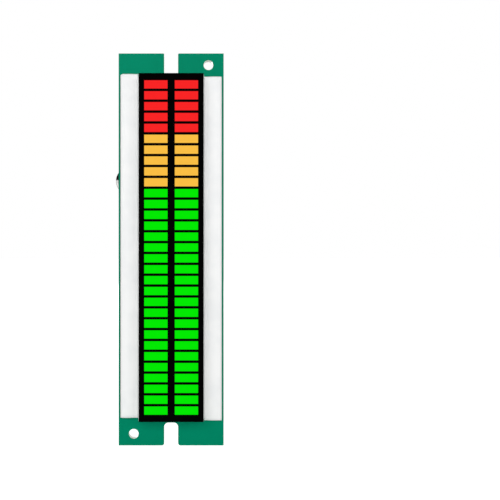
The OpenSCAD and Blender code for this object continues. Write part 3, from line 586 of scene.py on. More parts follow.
BARE_PADS = [
    (7.05, 36.6, 1.2, 1.05, LEGS), (9.17, 36.6, 1.25, 1.1, TENT),
    (9.3, 34.95, 1.6, 1.1, TENT), (9.25, 30.85, 1.7, 0.9, LEGS),
    (9.3, 28.4, 1.6, 1.1, LEGS), (9.3, 26.35, 1.6, 1.1, LEGS),
    (9.25, 24.4, 1.6, 1.1, LEGS), (9.25, 22.4, 1.6, 1.1, TENT),
    (-9.55, 28.1, 1.45, 1.15, LEGS), (-9.55, 26, 1.45, 1.2, LEGS),
    (-9.5, 17.55, 1.3, 1.41, LEGS), (-7.3, 17.85, 1.3, 1.6, SPOT),
    (-4, 19.1, 1.41, 1.19, LEGS), (-1.9, 19.1, 1.3, 1.19, TENT),
    (-4.05, 16.9, 1.41, 1.19, LEGS), (-1.95, 16.9, 1.3, 1.19, LEGS),
    (0.95, 19.05, 1.41, 1.19, LEGS), (0.95, 16.75, 1.41, 1.19, LEGS),
    (0.95, 14.1, 1.41, 1.19, LEGS), (0.95, 11.95, 1.41, 1.04, ARMS),
    (0.95, 9.3, 1.41, 1.19, ARMS), (0.95, 7.15, 1.41, 1.08, LEGS),
    (5, 17.25, 1.5, 1.35, ()), (5, 15.05, 1.5, 1.3, SPOT),
    (5, 8.05, 1.45, 1.2, ARMS), (5, 5.95, 1.45, 1.2, ARMS),
    (-2.55, 14.85, 2.82, 0.9, ARCH), (-3.8, 8.35, 2.82, 0.95, ARCH),
    (-1.25, 8.15, 0.61, 1.52, FULL), (-7.55, -33.2, 1.1, 1.05, LEGS),
    (-7.5, -34.95, 1.1, 0.9, FULL), (-6.4, -34.1, 1.1, 1.1, LEGS),
]
SLIM_PADS = [(side, up) for side in (-3.5, 3.45) for up in (25.15, 23.88, 22.61, 21.34)]
SLIM_PAD_SIZE = (2.39, 0.5)
TINNED_LINKS = [
    [(2.35, -30.1), (1.9, -30.25)],
    [(5.5, -29.05), (5.25, -28.7)],
    [(9.95, -30.5), (9.4, -29.8)],
    [(10.05, -15.85), (9.4, -14.9)],
]
LINK_SIZE = (0.24, 0.12)


def stood_on_board(rows):
    """A skin over rows of points, with walls down to the board and a floor on it."""
    points, faces = lofted(rows, round_each=False)
    across, last, foot = len(rows[0]) - 1, len(points) - 1, len(points)
    rim = [*range(across), *range(across, last, across + 1)]
    rim += [*range(last, last - across, -1), *range(last - across, 0, -across - 1)]
    points += [(points[i][0], points[i][1], 0.0) for i in rim]
    for k, i in enumerate(rim):
        after = (k + 1) % len(rim)
        faces.append((i, rim[after], foot + after, foot + k))
    return points, faces + [tuple(range(foot, foot + len(rim)))]


def bead(centre, width, height, crests):
    """Solder on a pad. A crest is (across, along, reach across, reach along, rise): its place
    and its reach are parts of the pad's half width and half height, and the rise is in mm."""
    shares = [2 * k / BEAD_CELLS - 1 for k in range(BEAD_CELLS + 1)]
    rows = []
    for b in shares:
        row = []
        for a in shares:
            x = a * (1 - CORNER_ROUNDING * b ** 4) * width / 2
            y = b * (1 - CORNER_ROUNDING * a ** 4) * height / 2
            lift = SOLDER_COAT
            for across, along, reach_across, reach_along, rise in crests:
                away = ((a - across) / reach_across) ** 2 + ((b - along) / reach_along) ** 2
                lift += rise * math.exp(-away)
            place = (centre[0] + x, centre[1] + y)
            ripple = noise.noise(Vector((*(RIPPLES_PER_MM * at for at in place), RIPPLE_PLANE)))
            lift *= 1 + RIPPLE_DEPTH * ripple
            lift *= (1 - a ** BEAD_STEEPNESS) * (1 - b ** BEAD_STEEPNESS)
            row.append((*place, FOIL + lift))
        rows.append(row)
    return stood_on_board(rows)


pad_solder = solder_with_painted_glints(
    "dipped solder", (0.07, 0.055, 0.045), (0.2, 0.16, 0.14), (0.95, 0.92, 0.88),
    FOIL + 0.045, FOIL + 0.1,
)
pad_beads = [bead(pad[:2], *pad[2:]) for pad in BARE_PADS]
pad_beads += [bead(place, *SLIM_PAD_SIZE, ENDS) for place in SLIM_PADS]
solder_piece("tinned_pads", pad_beads, pad_solder)
link_bands = [ribbon(line, *LINK_SIZE) for line in TINNED_LINKS]
make_piece("tinned_links", link_bands, pad_solder)

# Oval pads. The two pads of a choke that isn't fitted were kept free of solder, and their
# flash of tin has gone dull and reddish. One has a small pit, painted in as a dark spot of
# shade.
OVAL_PADS = [(-3.2, 29.8), (3.6, 29.8)]
OVAL_SIZE = (2.6, 3.7)
OVAL_CORNER = 1.2
OVAL_RINGS = [(0, 0), (0, 0.05), (0.12, 0.05), (0.26, FOIL)]
CORNER_STEPS = 8
PIT_AT = (3.32, 30.45)
PIT_RADIUS = 0.24


def oval_outline(centre, inset, out):
    """An oval pad's outline at a height, brought in from its edge."""
    outline = []
    for corner, signs in enumerate(((1, 1), (-1, 1), (-1, -1), (1, -1))):
        middle = [
            at + sign * (size / 2 - OVAL_CORNER) for at, sign, size in zip(centre, signs, OVAL_SIZE)
        ]
        for step in range(CORNER_STEPS + 1):
            turn = (corner + step / CORNER_STEPS) / 4
            outline.append((*round_about(middle, OVAL_CORNER - inset, turn), out))
    return outline


def oval_pad(centre):
    """A flat pad with a slightly raised rim."""
    return capped([oval_outline(centre, inset, out) for inset, out in OVAL_RINGS])


@shader_group("round a place", ("Right", "Up"), ("Distance", "Angle"))
def round_a_place(group, given):
    """Distance in mm and angle in radians round a place on the back, seen from behind."""
    axes = axes_of(group)
    right = maths(group, "SUBTRACT", maths(group, "MULTIPLY", axes["X"], -1 / MM), given["Right"])
    up = maths(group, "SUBTRACT", maths(group, "MULTIPLY", axes["Z"], 1 / MM), given["Up"])
    squares = [maths(group, "MULTIPLY", side, side) for side in (right, up)]
    distance = maths(group, "SQRT", maths(group, "ADD", *squares))
    return distance, maths(group, "ARCTAN2", up, right)


def around(material, place):
    return place_group(material, round_a_place, right=place[0], up=place[1])


def near(material, place, radius, edge):
    """1 within a radius of a place on the back, with a soft edge."""
    distance = around(material, place)["Distance"]
    return fade(material.node_tree, distance, radius + edge, radius - edge)


dull_pad = finish("dull pad", (0.13, 0.13, 0.118), (0.18, 0.122, 0.112), 1.1, 0.2, 0.5, metal=0.3)
rim_mask = mask_of(dull_pad, height_over_board, start=FOIL, end=0.05)
stain(dull_pad, (0.17, 0.205, 0.175), rim_mask)
# Painted shade: a near-black spot stands for the shade in the pit.
stain(dull_pad, (0.01, 0.008, 0.008), near(dull_pad, PIT_AT, PIT_RADIUS, 0.05))
make_piece("oval_pads", [oval_pad(centre) for centre in OVAL_PADS], dull_pad)

# Printed legend. White ink, screened over the lacquer in thin lines round each part's
# place. It is thin enough for the green to tint it. No words or figures are printed.
INK_WIDTH = 0.22
WHOLE_LOOP_HEIGHT = 0.032
BROKEN_LINE_HEIGHT = 0.044
INK_STEP = 0.04
SHORTEST_RUN = 0.1
CLEAR_OF_WIDE_RINGS = 0.76
CLEAR_OF_VIAS = 0.55
NOTCH_RADIUS = 0.75
NOTCH_STEPS = 8
CIRCLE_STEPS = 48
PART_BOXES = [
    (-9.4, 35.75, -4.15, 37.7), (6.1, 35.75, 10.25, 37.65), (7.75, 29.85, 10.5, 35.75),
    (8.35, 21.55, 10.2, 29.6), (-10.45, 25.05, -8.6, 29.1), (-10.45, 16.65, -6.2, 18.55),
    (-5.1, 18.2, -0.75, 20), (-5.1, 16, -0.75, 17.85), (0, 15.75, 1.85, 19.95),
    (0, 11.2, 1.85, 15.35), (0, 6.45, 1.85, 10.65), (2.05, 15.75, 3.95, 19.95),
    (2.05, 11.2, 3.95, 15.35), (2.05, 6.45, 3.95, 10.65), (1.25, 1.65, 3.25, 5.7),
    (-10.7, -3, -8.75, 1.2), (-10.7, -9.45, -8.75, -5.2), (-10.7, -14.2, -8.75, -9.9),
    (1.2, -8.9, 5.4, -6.95), (1.2, -11.35, 5.4, -9.4), (1.2, -13.8, 5.4, -11.85),
    (1.2, -16.3, 5.4, -14.3), (1.75, -6.75, 9.65, 1.2), (-5.15, -24.55, 10.75, -16.65),
    (-9.95, -25.45, -8.05, -21.35), (-9.85, -30.9, -8.1, -26.9),
    (-10.7, -35.6, -8.75, -31.45), (-8.3, -35.55, -5.55, -32.75), (2.9, -29.5, 6.05, -25),
    (3, -35.85, 6.2, -31.1), (6.85, -35.85, 8.75, -31.75), (9, -35.95, 10.85, -31.65),
    (4.15, 13.3, 5.9, 19.1), (4.15, 4.8, 5.9, 9.25),
]
INK_LINES = [
    [(-6.55, 37.7), (-6.55, 35.75)],
    [(7.75, 31.95), (10.5, 31.95)],
    [(-3.95, 34.9), (-3.95, 33.75), (-5.6, 33.75)],
    [(3.7, 34.9), (3.7, 33.75), (5.2, 33.75)],
    *[[(right, 33.3), (right + 0.65, 33.3)] for right in (-2.9, -0.35, 2.2)],
    *[[(4.15, up), (5.9, up)] for up in (18.45, 13.95, 8.75, 5.3)],
    [(-10.5, 33.35), (-10.4, 33.8), (-9.9, 33.85)], [(-8.45, 33.85), (-7.95, 33.8), (-7.85, 33.35)],
    [(-10.55, 12.2), (-10.55, 11.3), (-9.75, 11.3)], [(-7.9, 12.2), (-7.9, 11.3), (-8.7, 11.3)],
    [(-10.8, -16.95), (-10.75, -16.4), (-10.1, -16.15)],
    [(-8.05, -16.95), (-8.1, -16.4), (-8.75, -16.15)],
    [(8.27, -29.35), (8.27, -30), (8.95, -30)], [(10.82, -29.35), (10.82, -30), (10.45, -30)],
    [(-2.9, -25.55), (-1.8, -25.55)], [(-1, -25.55), (0, -25.55)],
    [(4.9, 27.5), (-5.9, 27.5), (-5.9, 34.9), (5.75, 34.9), (5.75, 28.2)],
    [(10.8, -14.34), (10.8, -15), (10.2, -15.05)],
    [(8.2, -14.5), (8.2, -15.3)],
    [(2.8, -24.45), (2.8, -23.2)],
    [(-1.9, -36.1), (-1, -36.1)],
]
CHOKE_OUTLINE = [
    (-3.65, 32.52), (4.05, 32.52), (5.6, 31.35), (5.6, 28.1),
    (3.6, 26.35), (-2.95, 26.35), (-5.05, 28.15), (-4.95, 31.25),
]
ELECTROLYTIC_OUTLINE = ((-8.2, 22.3), 2.45)
LYING_CHIP = [(-5.95, 10.15), (-0.45, 10.15), (-0.45, 12.9), (-5.95, 12.9)]
LYING_NOTCH = ((-5.95, 11.525), 0.25, -0.25)
UPRIGHT_CHIP = [(1.75, 25.95), (1.75, 20.65), (-1.75, 20.65), (-1.75, 25.95)]
UPRIGHT_NOTCH = ((0, 25.95), 0.5, 1)


def box_corners(low_x, low_y, high_x, high_y):
    return [(low_x, low_y), (high_x, low_y), (high_x, high_y), (low_x, high_y)]


def notch(centre, start, end):
    """The half circle in the outline of a chip, from one share of a turn to another."""
    shares = [k / NOTCH_STEPS for k in range(NOTCH_STEPS + 1)]
    return [round_about(centre, NOTCH_RADIUS, start + (end - start) * share) for share in shares]


def clear_of_holes(point):
    wide = SPARE_HOLES + WIDE_HOLES + FILLED_HOLES
    limits = [(place, CLEAR_OF_WIDE_RINGS) for place in wide]
    limits += [(place, CLEAR_OF_VIAS) for place in VIAS]
    return all(math.dist(point, place) > limit for place, limit in limits)


def broken_at_holes(line):
    """The runs of a line of ink that are left where it is broken at holes."""
    runs, run = [], []
    for start, end in zip(line, line[1:]):
        steps = max(2, math.ceil(math.dist(start, end) / INK_STEP))
        points = [tuple(Vector(start).lerp(Vector(end), k / steps)) for k in range(steps + 1)]
        clear = [clear_of_holes(point) for point in points]
        for k, point in enumerate(points):
            if not clear[k]:
                runs, run = runs + [run], []
            elif not run or k == steps or not clear[k + 1]:
                run = run + [point]
    long_enough = [run for run in runs + [run] if len(run) > 1]
    return [run for run in long_enough if len(run) > 2 or math.dist(*run) > SHORTEST_RUN]


circle = [round_about(*ELECTROLYTIC_OUTLINE, k / CIRCLE_STEPS) for k in range(CIRCLE_STEPS)]
ink_loops = [box_corners(*box) for box in PART_BOXES] + [CHOKE_OUTLINE, circle]
ink_loops += [notch(*LYING_NOTCH) + LYING_CHIP, notch(*UPRIGHT_NOTCH) + UPRIGHT_CHIP]
legend_ink = finish(
    "legend ink", (0.68, 0.95, 0.81), (0.5, 0.82, 0.66), 0.8, 0.12, 0.55, depth=0.003, gloss=0.1
)
whole_loops, ink_runs = [], [run for line in INK_LINES for run in broken_at_holes(line)]
for loop in ink_loops:
    runs = broken_at_holes(loop + loop[:1])
    if len(runs) == 1 and runs[0][0] == runs[0][-1]:
        whole_loops.append(loop)
    elif runs[0][0] == runs[-1][-1]:
        ink_runs += runs[1:-1] + [runs[-1] + runs[0][1:]]
    else:
        ink_runs += runs
ink_bands = bands(whole_loops, INK_WIDTH, WHOLE_LOOP_HEIGHT, closed=True)
ink_bands += bands(ink_runs, INK_WIDTH, BROKEN_LINE_HEIGHT)
make_piece("printed_legend", ink_bands, legend_ink)

# Bar display. A white moulded reflector with a matt black face, over a small inner board
# with one bare die behind each bar. Cast epoxy seals it, and tinned pins run out through
# the back.
dress("display_housing", finish(
    "white reflector moulding", (0.84, 0.84, 0.83), (0.79, 0.8, 0.78), 5, 0.08, 0.42
))
dress("display_face", finish(
    "black face film", (0.0008, 0.0008, 0.0008), (0.0014, 0.0014, 0.0014), 3, 0.06, 0.75, gloss=0.0
))
dress("inner_board", finish("bare laminate", (0.62, 0.62, 0.5), (0.55, 0.56, 0.42), 1, 0.2))
dress("rear_potting", finish(
    "cast epoxy", (0.68, 0.66, 0.58), (0.6, 0.58, 0.5), 6, 0.5, 0.25, depth=0.006
))
dress("light_dies", finish("die crystal", (0.55, 0.5, 0.3), (0.45, 0.4, 0.22), 0.2, 0.05, 0.2))


JOINT_PATCHES_PER_MM = 0.6
JOINT_FADE = (0.42, 0.58)


@shader_group("joint by joint")
def joint_by_joint(group, given):
    """1 at some of the through joints, and 0 at the others, so that not all are equally bright."""
    place = add_node(group, "TexCoord").outputs["Object"]
    texture = add_node(group, "TexNoise", {"Scale": JOINT_PATCHES_PER_MM / MM, "Vector": place})
    return [fade(group, texture.outputs["Fac"], *JOINT_FADE)]


def tinned(name, sides, patches, faces, patch=0.6, grain=0.08, depth=0.002):
    """Tin plate whose colours are painted reflections: one colour on its sides and another on
    the faces that lie square to the board, with the mask of those faces.
    """
    material = finish(name, sides, patches, patch, grain, 0.3, spread=0.2, depth=depth, metal=1.0)
    square = mask_of(material, squareness, start=0.7, end=0.97)
    stain(material, faces, square)
    return material, square


pin_tin, pin_highlight_faces = tinned(
    "display pin tin", (0.2, 0.13, 0.1), (0.14, 0.09, 0.07), (0.12, 0.1, 0.075),
    patch=0.5, grain=0.05, depth=0.004,
)
# Painted highlight: the pin ends at some of the joints are painted bright.
stain(pin_tin, (0.7, 0.59, 0.52), pin_highlight_faces, mask_of(pin_tin, joint_by_joint))
dress("display_pins", pin_tin)

# Light bars. Tinted epoxy cast in the cells of the reflector, five red, five amber and
# twenty-one green in each column. All are lit, each by its own die.
BAR_GLOW = 0.9
BODY_SHADE = 0.1
PATCH_SHADE = 0.8


def shade(colour, share):
    return tuple(share * c for c in colour)


def lit_epoxy(name, glow):
    """Tinted epoxy with the light of its die in it: the glow, over a darker body."""
    body = shade(glow, BODY_SHADE)
    material = finish(
        name, body, shade(body, PATCH_SHADE), 1.5, 0.1, 0.55, depth=0.002, gloss=0.0
    )
    set_shader(material, {"Emission Color": (*glow, 1), "Emission Strength": BAR_GLOW})
    return material


dress("red_bars", lit_epoxy("red bar epoxy", (0.956, 0.0185, 0.0194)))
dress("amber_bars", lit_epoxy("amber bar epoxy", (0.965, 0.521, 0.0595)))
dress("green_bars", lit_epoxy("green bar epoxy", (0.0012, 0.823, 0.0012)))

# Foam strips. White closed-cell foam, die-cut and stuck down on each side of the display
# by the adhesive on its back, which is painted dark all over as the shade seen through the
# board's holes. Pressed cuts leave the edges round, and the edge against the display is
# pushed up into a narrow lip beside a shallow crease.
INNER_PROFILE = [
    (0.0, 0.0), (-0.05, 0.3), (-0.1, 0.8), (-0.1, 1.12), (-0.04, 1.24), (0.06, 1.3), (0.2, 1.29),
    (0.34, 1.24), (0.47, 1.23), (0.65, 1.28), (1.0, 1.36), (1.5, 1.42), (2.1, 1.46), (2.7, 1.47),
]
OUTER_PROFILE = [(0.4, 1.45), (0.22, 1.4), (0.1, 1.3), (0.03, 1.12), (0.0, 0.85), (0.0, 0.0)]
FOAM_HEIGHT = 1.5
FOAM_STEPS = 96
ROUNDED_END = 0.3
ROUNDING_STEPS = (0.04, 0.2, 0.4, 0.6)
END_SLIMMING = 0.25
WAVINESS = 0.02
WAVES_ACROSS, WAVES_ALONG, WAVE_PLANE = 0.9, 0.35, 10.0
DARK_BACK_FADE = (0.8, 0.95)
LEFT_FOAM_CUT = 0.3
RIGHT_FOAM_CUT = 0.1


def foam_stations(bottom, top, corner_cut):
    """The heights of a strip's rows of points, closer together at its ends."""
    steps = [bottom + (top - bottom) * k / FOAM_STEPS for k in range(FOAM_STEPS + 1)]
    steps += [bottom + ROUNDED_END * share for share in ROUNDING_STEPS]
    steps += [top - ROUNDED_END * share for share in ROUNDING_STEPS]
    return sorted(set(round(up, 4) for up in steps + [top - corner_cut]))


def foam_strip(name, node, side, corner_cut):
    """side is 1 for the strip at +X. Its upper outer corner has a slanted cut."""
    low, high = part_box(node)
    bottom, top = low.z / MM, high.z / MM
    inner = (low.x if side > 0 else -high.x) / MM
    width = (high.x - low.x) / MM
    rows = []
    for up in foam_stations(bottom, top, corner_cut):
        from_end = min(up - bottom, top - up)
        fullness = 1 - END_SLIMMING * max(0.0, 1 - from_end / ROUNDED_END) ** 2
        outer = width - max(0.0, corner_cut - (top - up))
        row = []
        for across, out in INNER_PROFILE + [(outer - inset, out) for inset, out in OUTER_PROFILE]:
            wave_at = (across * WAVES_ACROSS, up * WAVES_ALONG, side * WAVE_PLANE)
            wave = noise.noise(Vector(wave_at))
            lift = min(out * fullness * (1 + WAVINESS * wave), FOAM_HEIGHT)
            row.append((side * (inner + min(across, outer)), -lift, up))
        rows.append(row)
    strip = make_piece(
        name, [capped(rows)], white_foam, smooth=True, place=lambda p: Vector(p) * MM
    )
    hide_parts(node)


white_foam = finish(
    "white foam", (0.9, 0.905, 0.905), (0.86, 0.87, 0.875), 4, 0.16, 0.85, depth=0.015, gloss=0.1
)
foam_tree = white_foam.node_tree
# Painted shade: the foam's back, seen through the board's holes, is painted near black.
painted_dark_back = fade(foam_tree, facing_back(foam_tree), *DARK_BACK_FADE)
stain(white_foam, (0.012, 0.012, 0.011), painted_dark_back)
foam_strip("left_foam", "left_foam_strip", -1, LEFT_FOAM_CUT)
foam_strip("right_foam", "right_foam_strip", 1, RIGHT_FOAM_CUT)

# Dual-in-line chip. A dark brown epoxy moulding with a finely eroded surface, round its
# die and lead frame. Its tinned leads go through the board, and on this side the plated
# ring round each lead stays open.
RECESS_DEPTH = 0.04
SQUARE_ON = 0.9
FLOOR_SHADE = 0.3
DIP_HOLE_RADIUS = 0.12
DIP_RING_DEPTH = 0.06
DIP_CREST_HALF_WIDTH = 0.05
DIP_FUNNEL = (0.16, 0.03)
DIP_RING_TAPER = 0.1
DIP_RING = {"outer": 1.36, "crest": 0.56, "rise": 0.12}


@shader_group("sunk below the top", ("Top",))
def sunk_below_top(group, given):
    """Where a surface faces the back squarely but lies lower than Top, in mm over the board."""
    floor = maths(group, "SUBTRACT", given["Top"], RECESS_DEPTH)
    deep = maths(group, "LESS_THAN", height_out(group), floor)
    facing = maths(group, "ABSOLUTE", facing_back(group))
    flat = maths(group, "GREATER_THAN", facing, SQUARE_ON)
    return [all_of(group, deep, flat)]


def sunk_in(material, node, depth=0.0):
    """1 on the floors of a node's recesses, deeper than some depth below its top."""
    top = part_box(node)[1].y / MM - BACK_Y
    return mask_of(material, sunk_below_top, top=top - depth)


def dress_moulding(name, node, colour, patch_colour, patch):
    """Finishes a chip's body. The floors of its notch and index mark are in shade."""
    material = finish(name, colour, patch_colour, patch, 0.07, 0.6, gloss=0.03)
    stain(material, shade(colour, FLOOR_SHADE), sunk_in(material, node))
    dress(node, material)


def solids_of(node):
    """The corner points of each separate solid of a CAD node, as (right, up, out) in mm."""
    work = bmesh.new()
    work.from_mesh(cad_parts[node].data)
    bmesh.ops.remove_doubles(work, verts=work.verts, dist=1e-6)
    left, solids = set(work.verts), []
    while left:
        stack, group = [left.pop()], []
        while stack:
            vert = stack.pop()
            group.append((-vert.co.x / MM, vert.co.z / MM, vert.co.y / MM - BACK_Y))
            for edge in vert.link_edges:
                other = edge.other_vert(vert)
                if other in left:
                    left.remove(other)
                    stack.append(other)
        solids.append(group)
    work.free()
    return sorted(solids, key=lambda solid: [round(c, 3) for c in extent(solid)])


def extent(points):
    """(centre right, centre up, width, height) of some points."""
    rights, ups, _ = zip(*points)
    low_x, high_x, low_y, high_y = min(rights), max(rights), min(ups), max(ups)
    return (low_x + high_x) / 2, (low_y + high_y) / 2, high_x - low_x, high_y - low_y


def centres_of(solids):
    return [extent(solid)[:2] for solid in solids]


def soldered_ring(centre, outer, crest, rise):
    """A ring whose hole is closed round its lead by solder drawn up from the other side."""
    wall = [(DIP_HOLE_RADIUS, -DIP_RING_DEPTH), (DIP_HOLE_RADIUS, 0.0)]
    funnel = [(crest - DIP_FUNNEL[0], DIP_FUNNEL[1])]
    top = [(crest - DIP_CREST_HALF_WIDTH, rise), (crest + DIP_CREST_HALF_WIDTH, rise)]
    rim = [(outer / 2, FOIL), (outer / 2, 0), (outer / 2 - DIP_RING_TAPER, -DIP_RING_DEPTH)]
    return turned(wall + funnel + top + rim, centre)


dress_moulding(
    "brown chip moulding", "controller_body", (0.054, 0.034, 0.037), (0.047, 0.029, 0.031), 2.5
)
dip_tin, dip_highlight_faces = tinned(
    "dip lead tin", (0.3, 0.26, 0.24), (0.22, 0.18, 0.16), (0.77, 0.76, 0.63)
)
dip_low, dip_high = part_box("controller_body")
dip_middle = (dip_low.x + dip_high.x) / 2
# Painted highlight: one row's lead faces are painted pinker than the other's.
pinker_highlight_row = maths(dip_tin.node_tree, "GREATER_THAN", axes_of(dip_tin.node_tree)["X"], dip_middle)
stain(dip_tin, (0.83, 0.6, 0.57), dip_highlight_faces, pinker_highlight_row)
dress("controller_leads", dip_tin)
dip_holes = centres_of([p for p in solid if p[2] < 0] for solid in solids_of("controller_leads"))
dip_solder = solder_with_painted_glints(
    "dip ring solder", (0.16, 0.19, 0.14), (0.24, 0.26, 0.2), (0.72, 0.72, 0.64), 0.05, 0.12
)
solder_piece("dip_rings", [soldered_ring(place, **DIP_RING) for place in dip_holes], dip_solder)

# Small-outline chip. A smaller moulding of the same kind on gull-wing leads, which are
# soldered flat on long pads. The solder runs out along each pad. One pad is stained with
# flux.
DRIVER_PAD_LENGTH = 1.5
DRIVER_PAD_WIDTH = 0.5
DRIVER_PAD_START = 2.5
STAINED_PAD_AT = (3.2, -34.08)

dress_moulding(
    "dark chip moulding", "driver_body", (0.022, 0.012, 0.015), (0.028, 0.016, 0.018), 1.5
)
tin_plate, _ = tinned("tin plate", (0.3, 0.28, 0.26), (0.22, 0.2, 0.18), (0.93, 0.87, 0.84))
dress("driver_leads", tin_plate)
flux_stained = solder_with_painted_glints(
    "flux-stained solder", (0.2, 0.1, 0.05), (0.3, 0.15, 0.07), (0.8, 0.55, 0.3),
    FOIL + 0.02, FOIL + 0.12,
)
driver_middle = centres_of(solids_of("driver_body"))[0][0]
driver_pads = []
for x, y in centres_of(solids_of("driver_leads")):
    side = 1 if x > driver_middle else -1
    centre = (driver_middle + side * (DRIVER_PAD_START + DRIVER_PAD_LENGTH / 2), y)
    crests = ((0.45 * side, 0, 0.5, 0.7, 0.13), (-0.5 * side, 0.1, 0.25, 0.4, 0.1))
    shape = bead(centre, DRIVER_PAD_LENGTH, DRIVER_PAD_WIDTH, crests)
    driver_pads.append((math.dist(centre, STAINED_PAD_AT), shape))
driver_pads.sort(key=lambda pad: pad[0])
solder_piece("driver_pads", [shape for _, shape in driver_pads[1:]], pad_solder)
solder_piece("stained_pad", [driver_pads[0][1]], flux_stained)

# Trimmers. A blue nylon case over a ceramic element, with dial marks moulded round its
# opening. The plated rotor carries a cross slot, and turns a spring wiper on the element
# between its stops.
ROTOR_CENTRES = {1: (5.75, -2.9), 2: (-1.35, -20.5), 3: (6.9, -20.5)}
DARK_SLOT_ANGLE = {1: 90, 2: -45, 3: 45}
ROTOR_SLOT_DEPTH = 0.15
ROTOR_OPENING = 1.675
HUB_RADIUS = 0.45
DIMPLE_FROM_ROTOR = (2.4, 1.65)
DIMPLE_RIM = 0.44
DIMPLE_FLOOR = 0.18


def blue_nylon(number):
    """A trimmer's case, painted darker on its recess floors and walls and round the rotor's
    opening as shade. Its dimple has a rim painted dark as shade round a floor painted pale as
    a highlight.
    """
    material = finish(
        f"trimmer {number} nylon", (0.032, 0.188, 0.67), (0.022, 0.158, 0.58), 0.9, 0.12, 0.38,
        gloss=0.15,
    )
    tree = material.node_tree
    centre = ROTOR_CENTRES[number]
    dimple = (centre[0] + DIMPLE_FROM_ROTOR[0], centre[1] + DIMPLE_FROM_ROTOR[1])
    sunk = sunk_in(material, f"trimmer_{number}_housing")
    walls = mask_of(material, squareness, start=0.6, end=0.3)
    turned_back = fade(tree, facing_back(tree), 0.3, 0.6)
    # Painted shade: recess floors, walls, a ring round the rotor's opening and the dimple's rim.
    # Painted highlight: the dimple's floor.
    stain(material, (0.02, 0.125, 0.49), sunk)
    stain(material, (0.01, 0.055, 0.25), walls)
    stain(material, (0.008, 0.03, 0.12), sunk, near(material, centre, ROTOR_OPENING, 0.025))
    stain(material, (0.008, 0.03, 0.14), turned_back, near(material, dimple, DIMPLE_RIM, 0.04))
    stain(material, (0.55, 0.6, 0.7), turned_back, near(material, dimple, DIMPLE_FLOOR, 0.04))
    return material


def rotor_plating(number):
    """Cream plating. The floor of the cross slot is gold-brown, painted darker towards its ends
    as shade, and the ends of one arm are painted near black as shade. The hub carries a
    painted bluish reflection, and the rotor's sides are painted dark as shade.
    """
    material = finish(
        f"rotor {number} plating", (0.78, 0.68, 0.6), (0.52, 0.43, 0.37), 0.7, 0.06, 0.42, metal=0.4
    )
    tree = material.node_tree
    centre = ROTOR_CENTRES[number]
    place = around(material, centre)
    turn = maths(tree, "SUBTRACT", place["Angle"], math.radians(DARK_SLOT_ANGLE[number]))
    along = maths(tree, "ABSOLUTE", maths(tree, "COSINE", turn))
    in_slot = sunk_in(material, f"trimmer_{number}_rotor", ROTOR_SLOT_DEPTH)
    shaded_slot_ends = fade(tree, place["Distance"], 0.3, 0.6), fade(tree, along, 0.6, 0.8)
    # Painted shade on the slot floor, its ends and the sides, and a painted reflection on the hub.
    stain(material, (0.42, 0.33, 0.26), in_slot)
    stain(material, (0.36, 0.33, 0.35), near(material, centre, HUB_RADIUS, 0.1))
    stain(material, (0.3, 0.2, 0.1), in_slot, fade(tree, place["Distance"], 0.6, 1.2))
    stain(material, (0.035, 0.018, 0.012), in_slot, *shaded_slot_ends)
    stain(material, (0.06, 0.04, 0.03), mask_of(material, squareness, start=0.8, end=0.3))
    return material


spring_bronze = finish(
    "spring bronze", (0.62, 0.42, 0.16), (0.5, 0.33, 0.12), 0.5, 0.05, 0.3, metal=1.0
)
for number in ROTOR_CENTRES:
    dress(f"trimmer_{number}_housing", blue_nylon(number))
    dress(f"trimmer_{number}_rotor", rotor_plating(number))
    dress(f"trimmer_{number}_wiper", spring_bronze)
dress("trimmer_elements", finish(
    "element ceramic", (0.78, 0.76, 0.7), (0.7, 0.68, 0.62), 0.8, 0.05, 0.6
))
dress("trimmer_pins", tin_plate)

# Electrolytic capacitor. A drawn aluminium can crimped on a rubber bung, in a black
# shrunk sleeve that folds over its top edge. A pale printed stripe with dark minus marks
# runs up the sleeve and over the fold on the negative side. The stripe carries a painted
# highlight along the fold's edge and is painted dark as shade down the sleeve's side.
STRIPE_FROM, STRIPE_TO = math.radians(-100), math.radians(4)
STRIPE_EDGE = (2.68, 2.88)
MINUS_MARKS = [(-41, 18, 2.24, 0.2), (-9, 5, 2.2, 0.13), (-81, 5, 2.2, 0.13)]
FOLD_ON_CAN = (1.8, 2.05)
can_low, can_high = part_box("capacitor_can")
can_centre = (-(can_low.x + can_high.x) / 2 / MM, (can_low.z + can_high.z) / 2 / MM)

can_metal = finish(
    "can aluminium", (0.61, 0.55, 0.55), (0.53, 0.48, 0.49), 1.2, 0.1, 0.5, metal=0.3
)
# Painted highlight: the can's top is painted lighter close to the fold.
fold_highlight = fade(can_metal.node_tree, around(can_metal, can_centre)["Distance"], *FOLD_ON_CAN)
stain(can_metal, (0.64, 0.59, 0.59), fold_highlight)
sleeve_film = finish(
    "black sleeve film", (0.002, 0.0012, 0.0015), (0.012, 0.002, 0.0035), 2, 0.2, 0.35, gloss=0.02
)
sleeve_tree = sleeve_film.node_tree
sleeve_place = around(sleeve_film, can_centre)
on_stripe = between(sleeve_tree, sleeve_place["Angle"], STRIPE_FROM, STRIPE_TO, 0.05)
at_edge = between(sleeve_tree, sleeve_place["Distance"], *STRIPE_EDGE, 0.06)
stripe_side_shade = mask_of(sleeve_film, squareness, start=0.85, end=0.6)
stain(sleeve_film, (0.5, 0.49, 0.48), on_stripe)
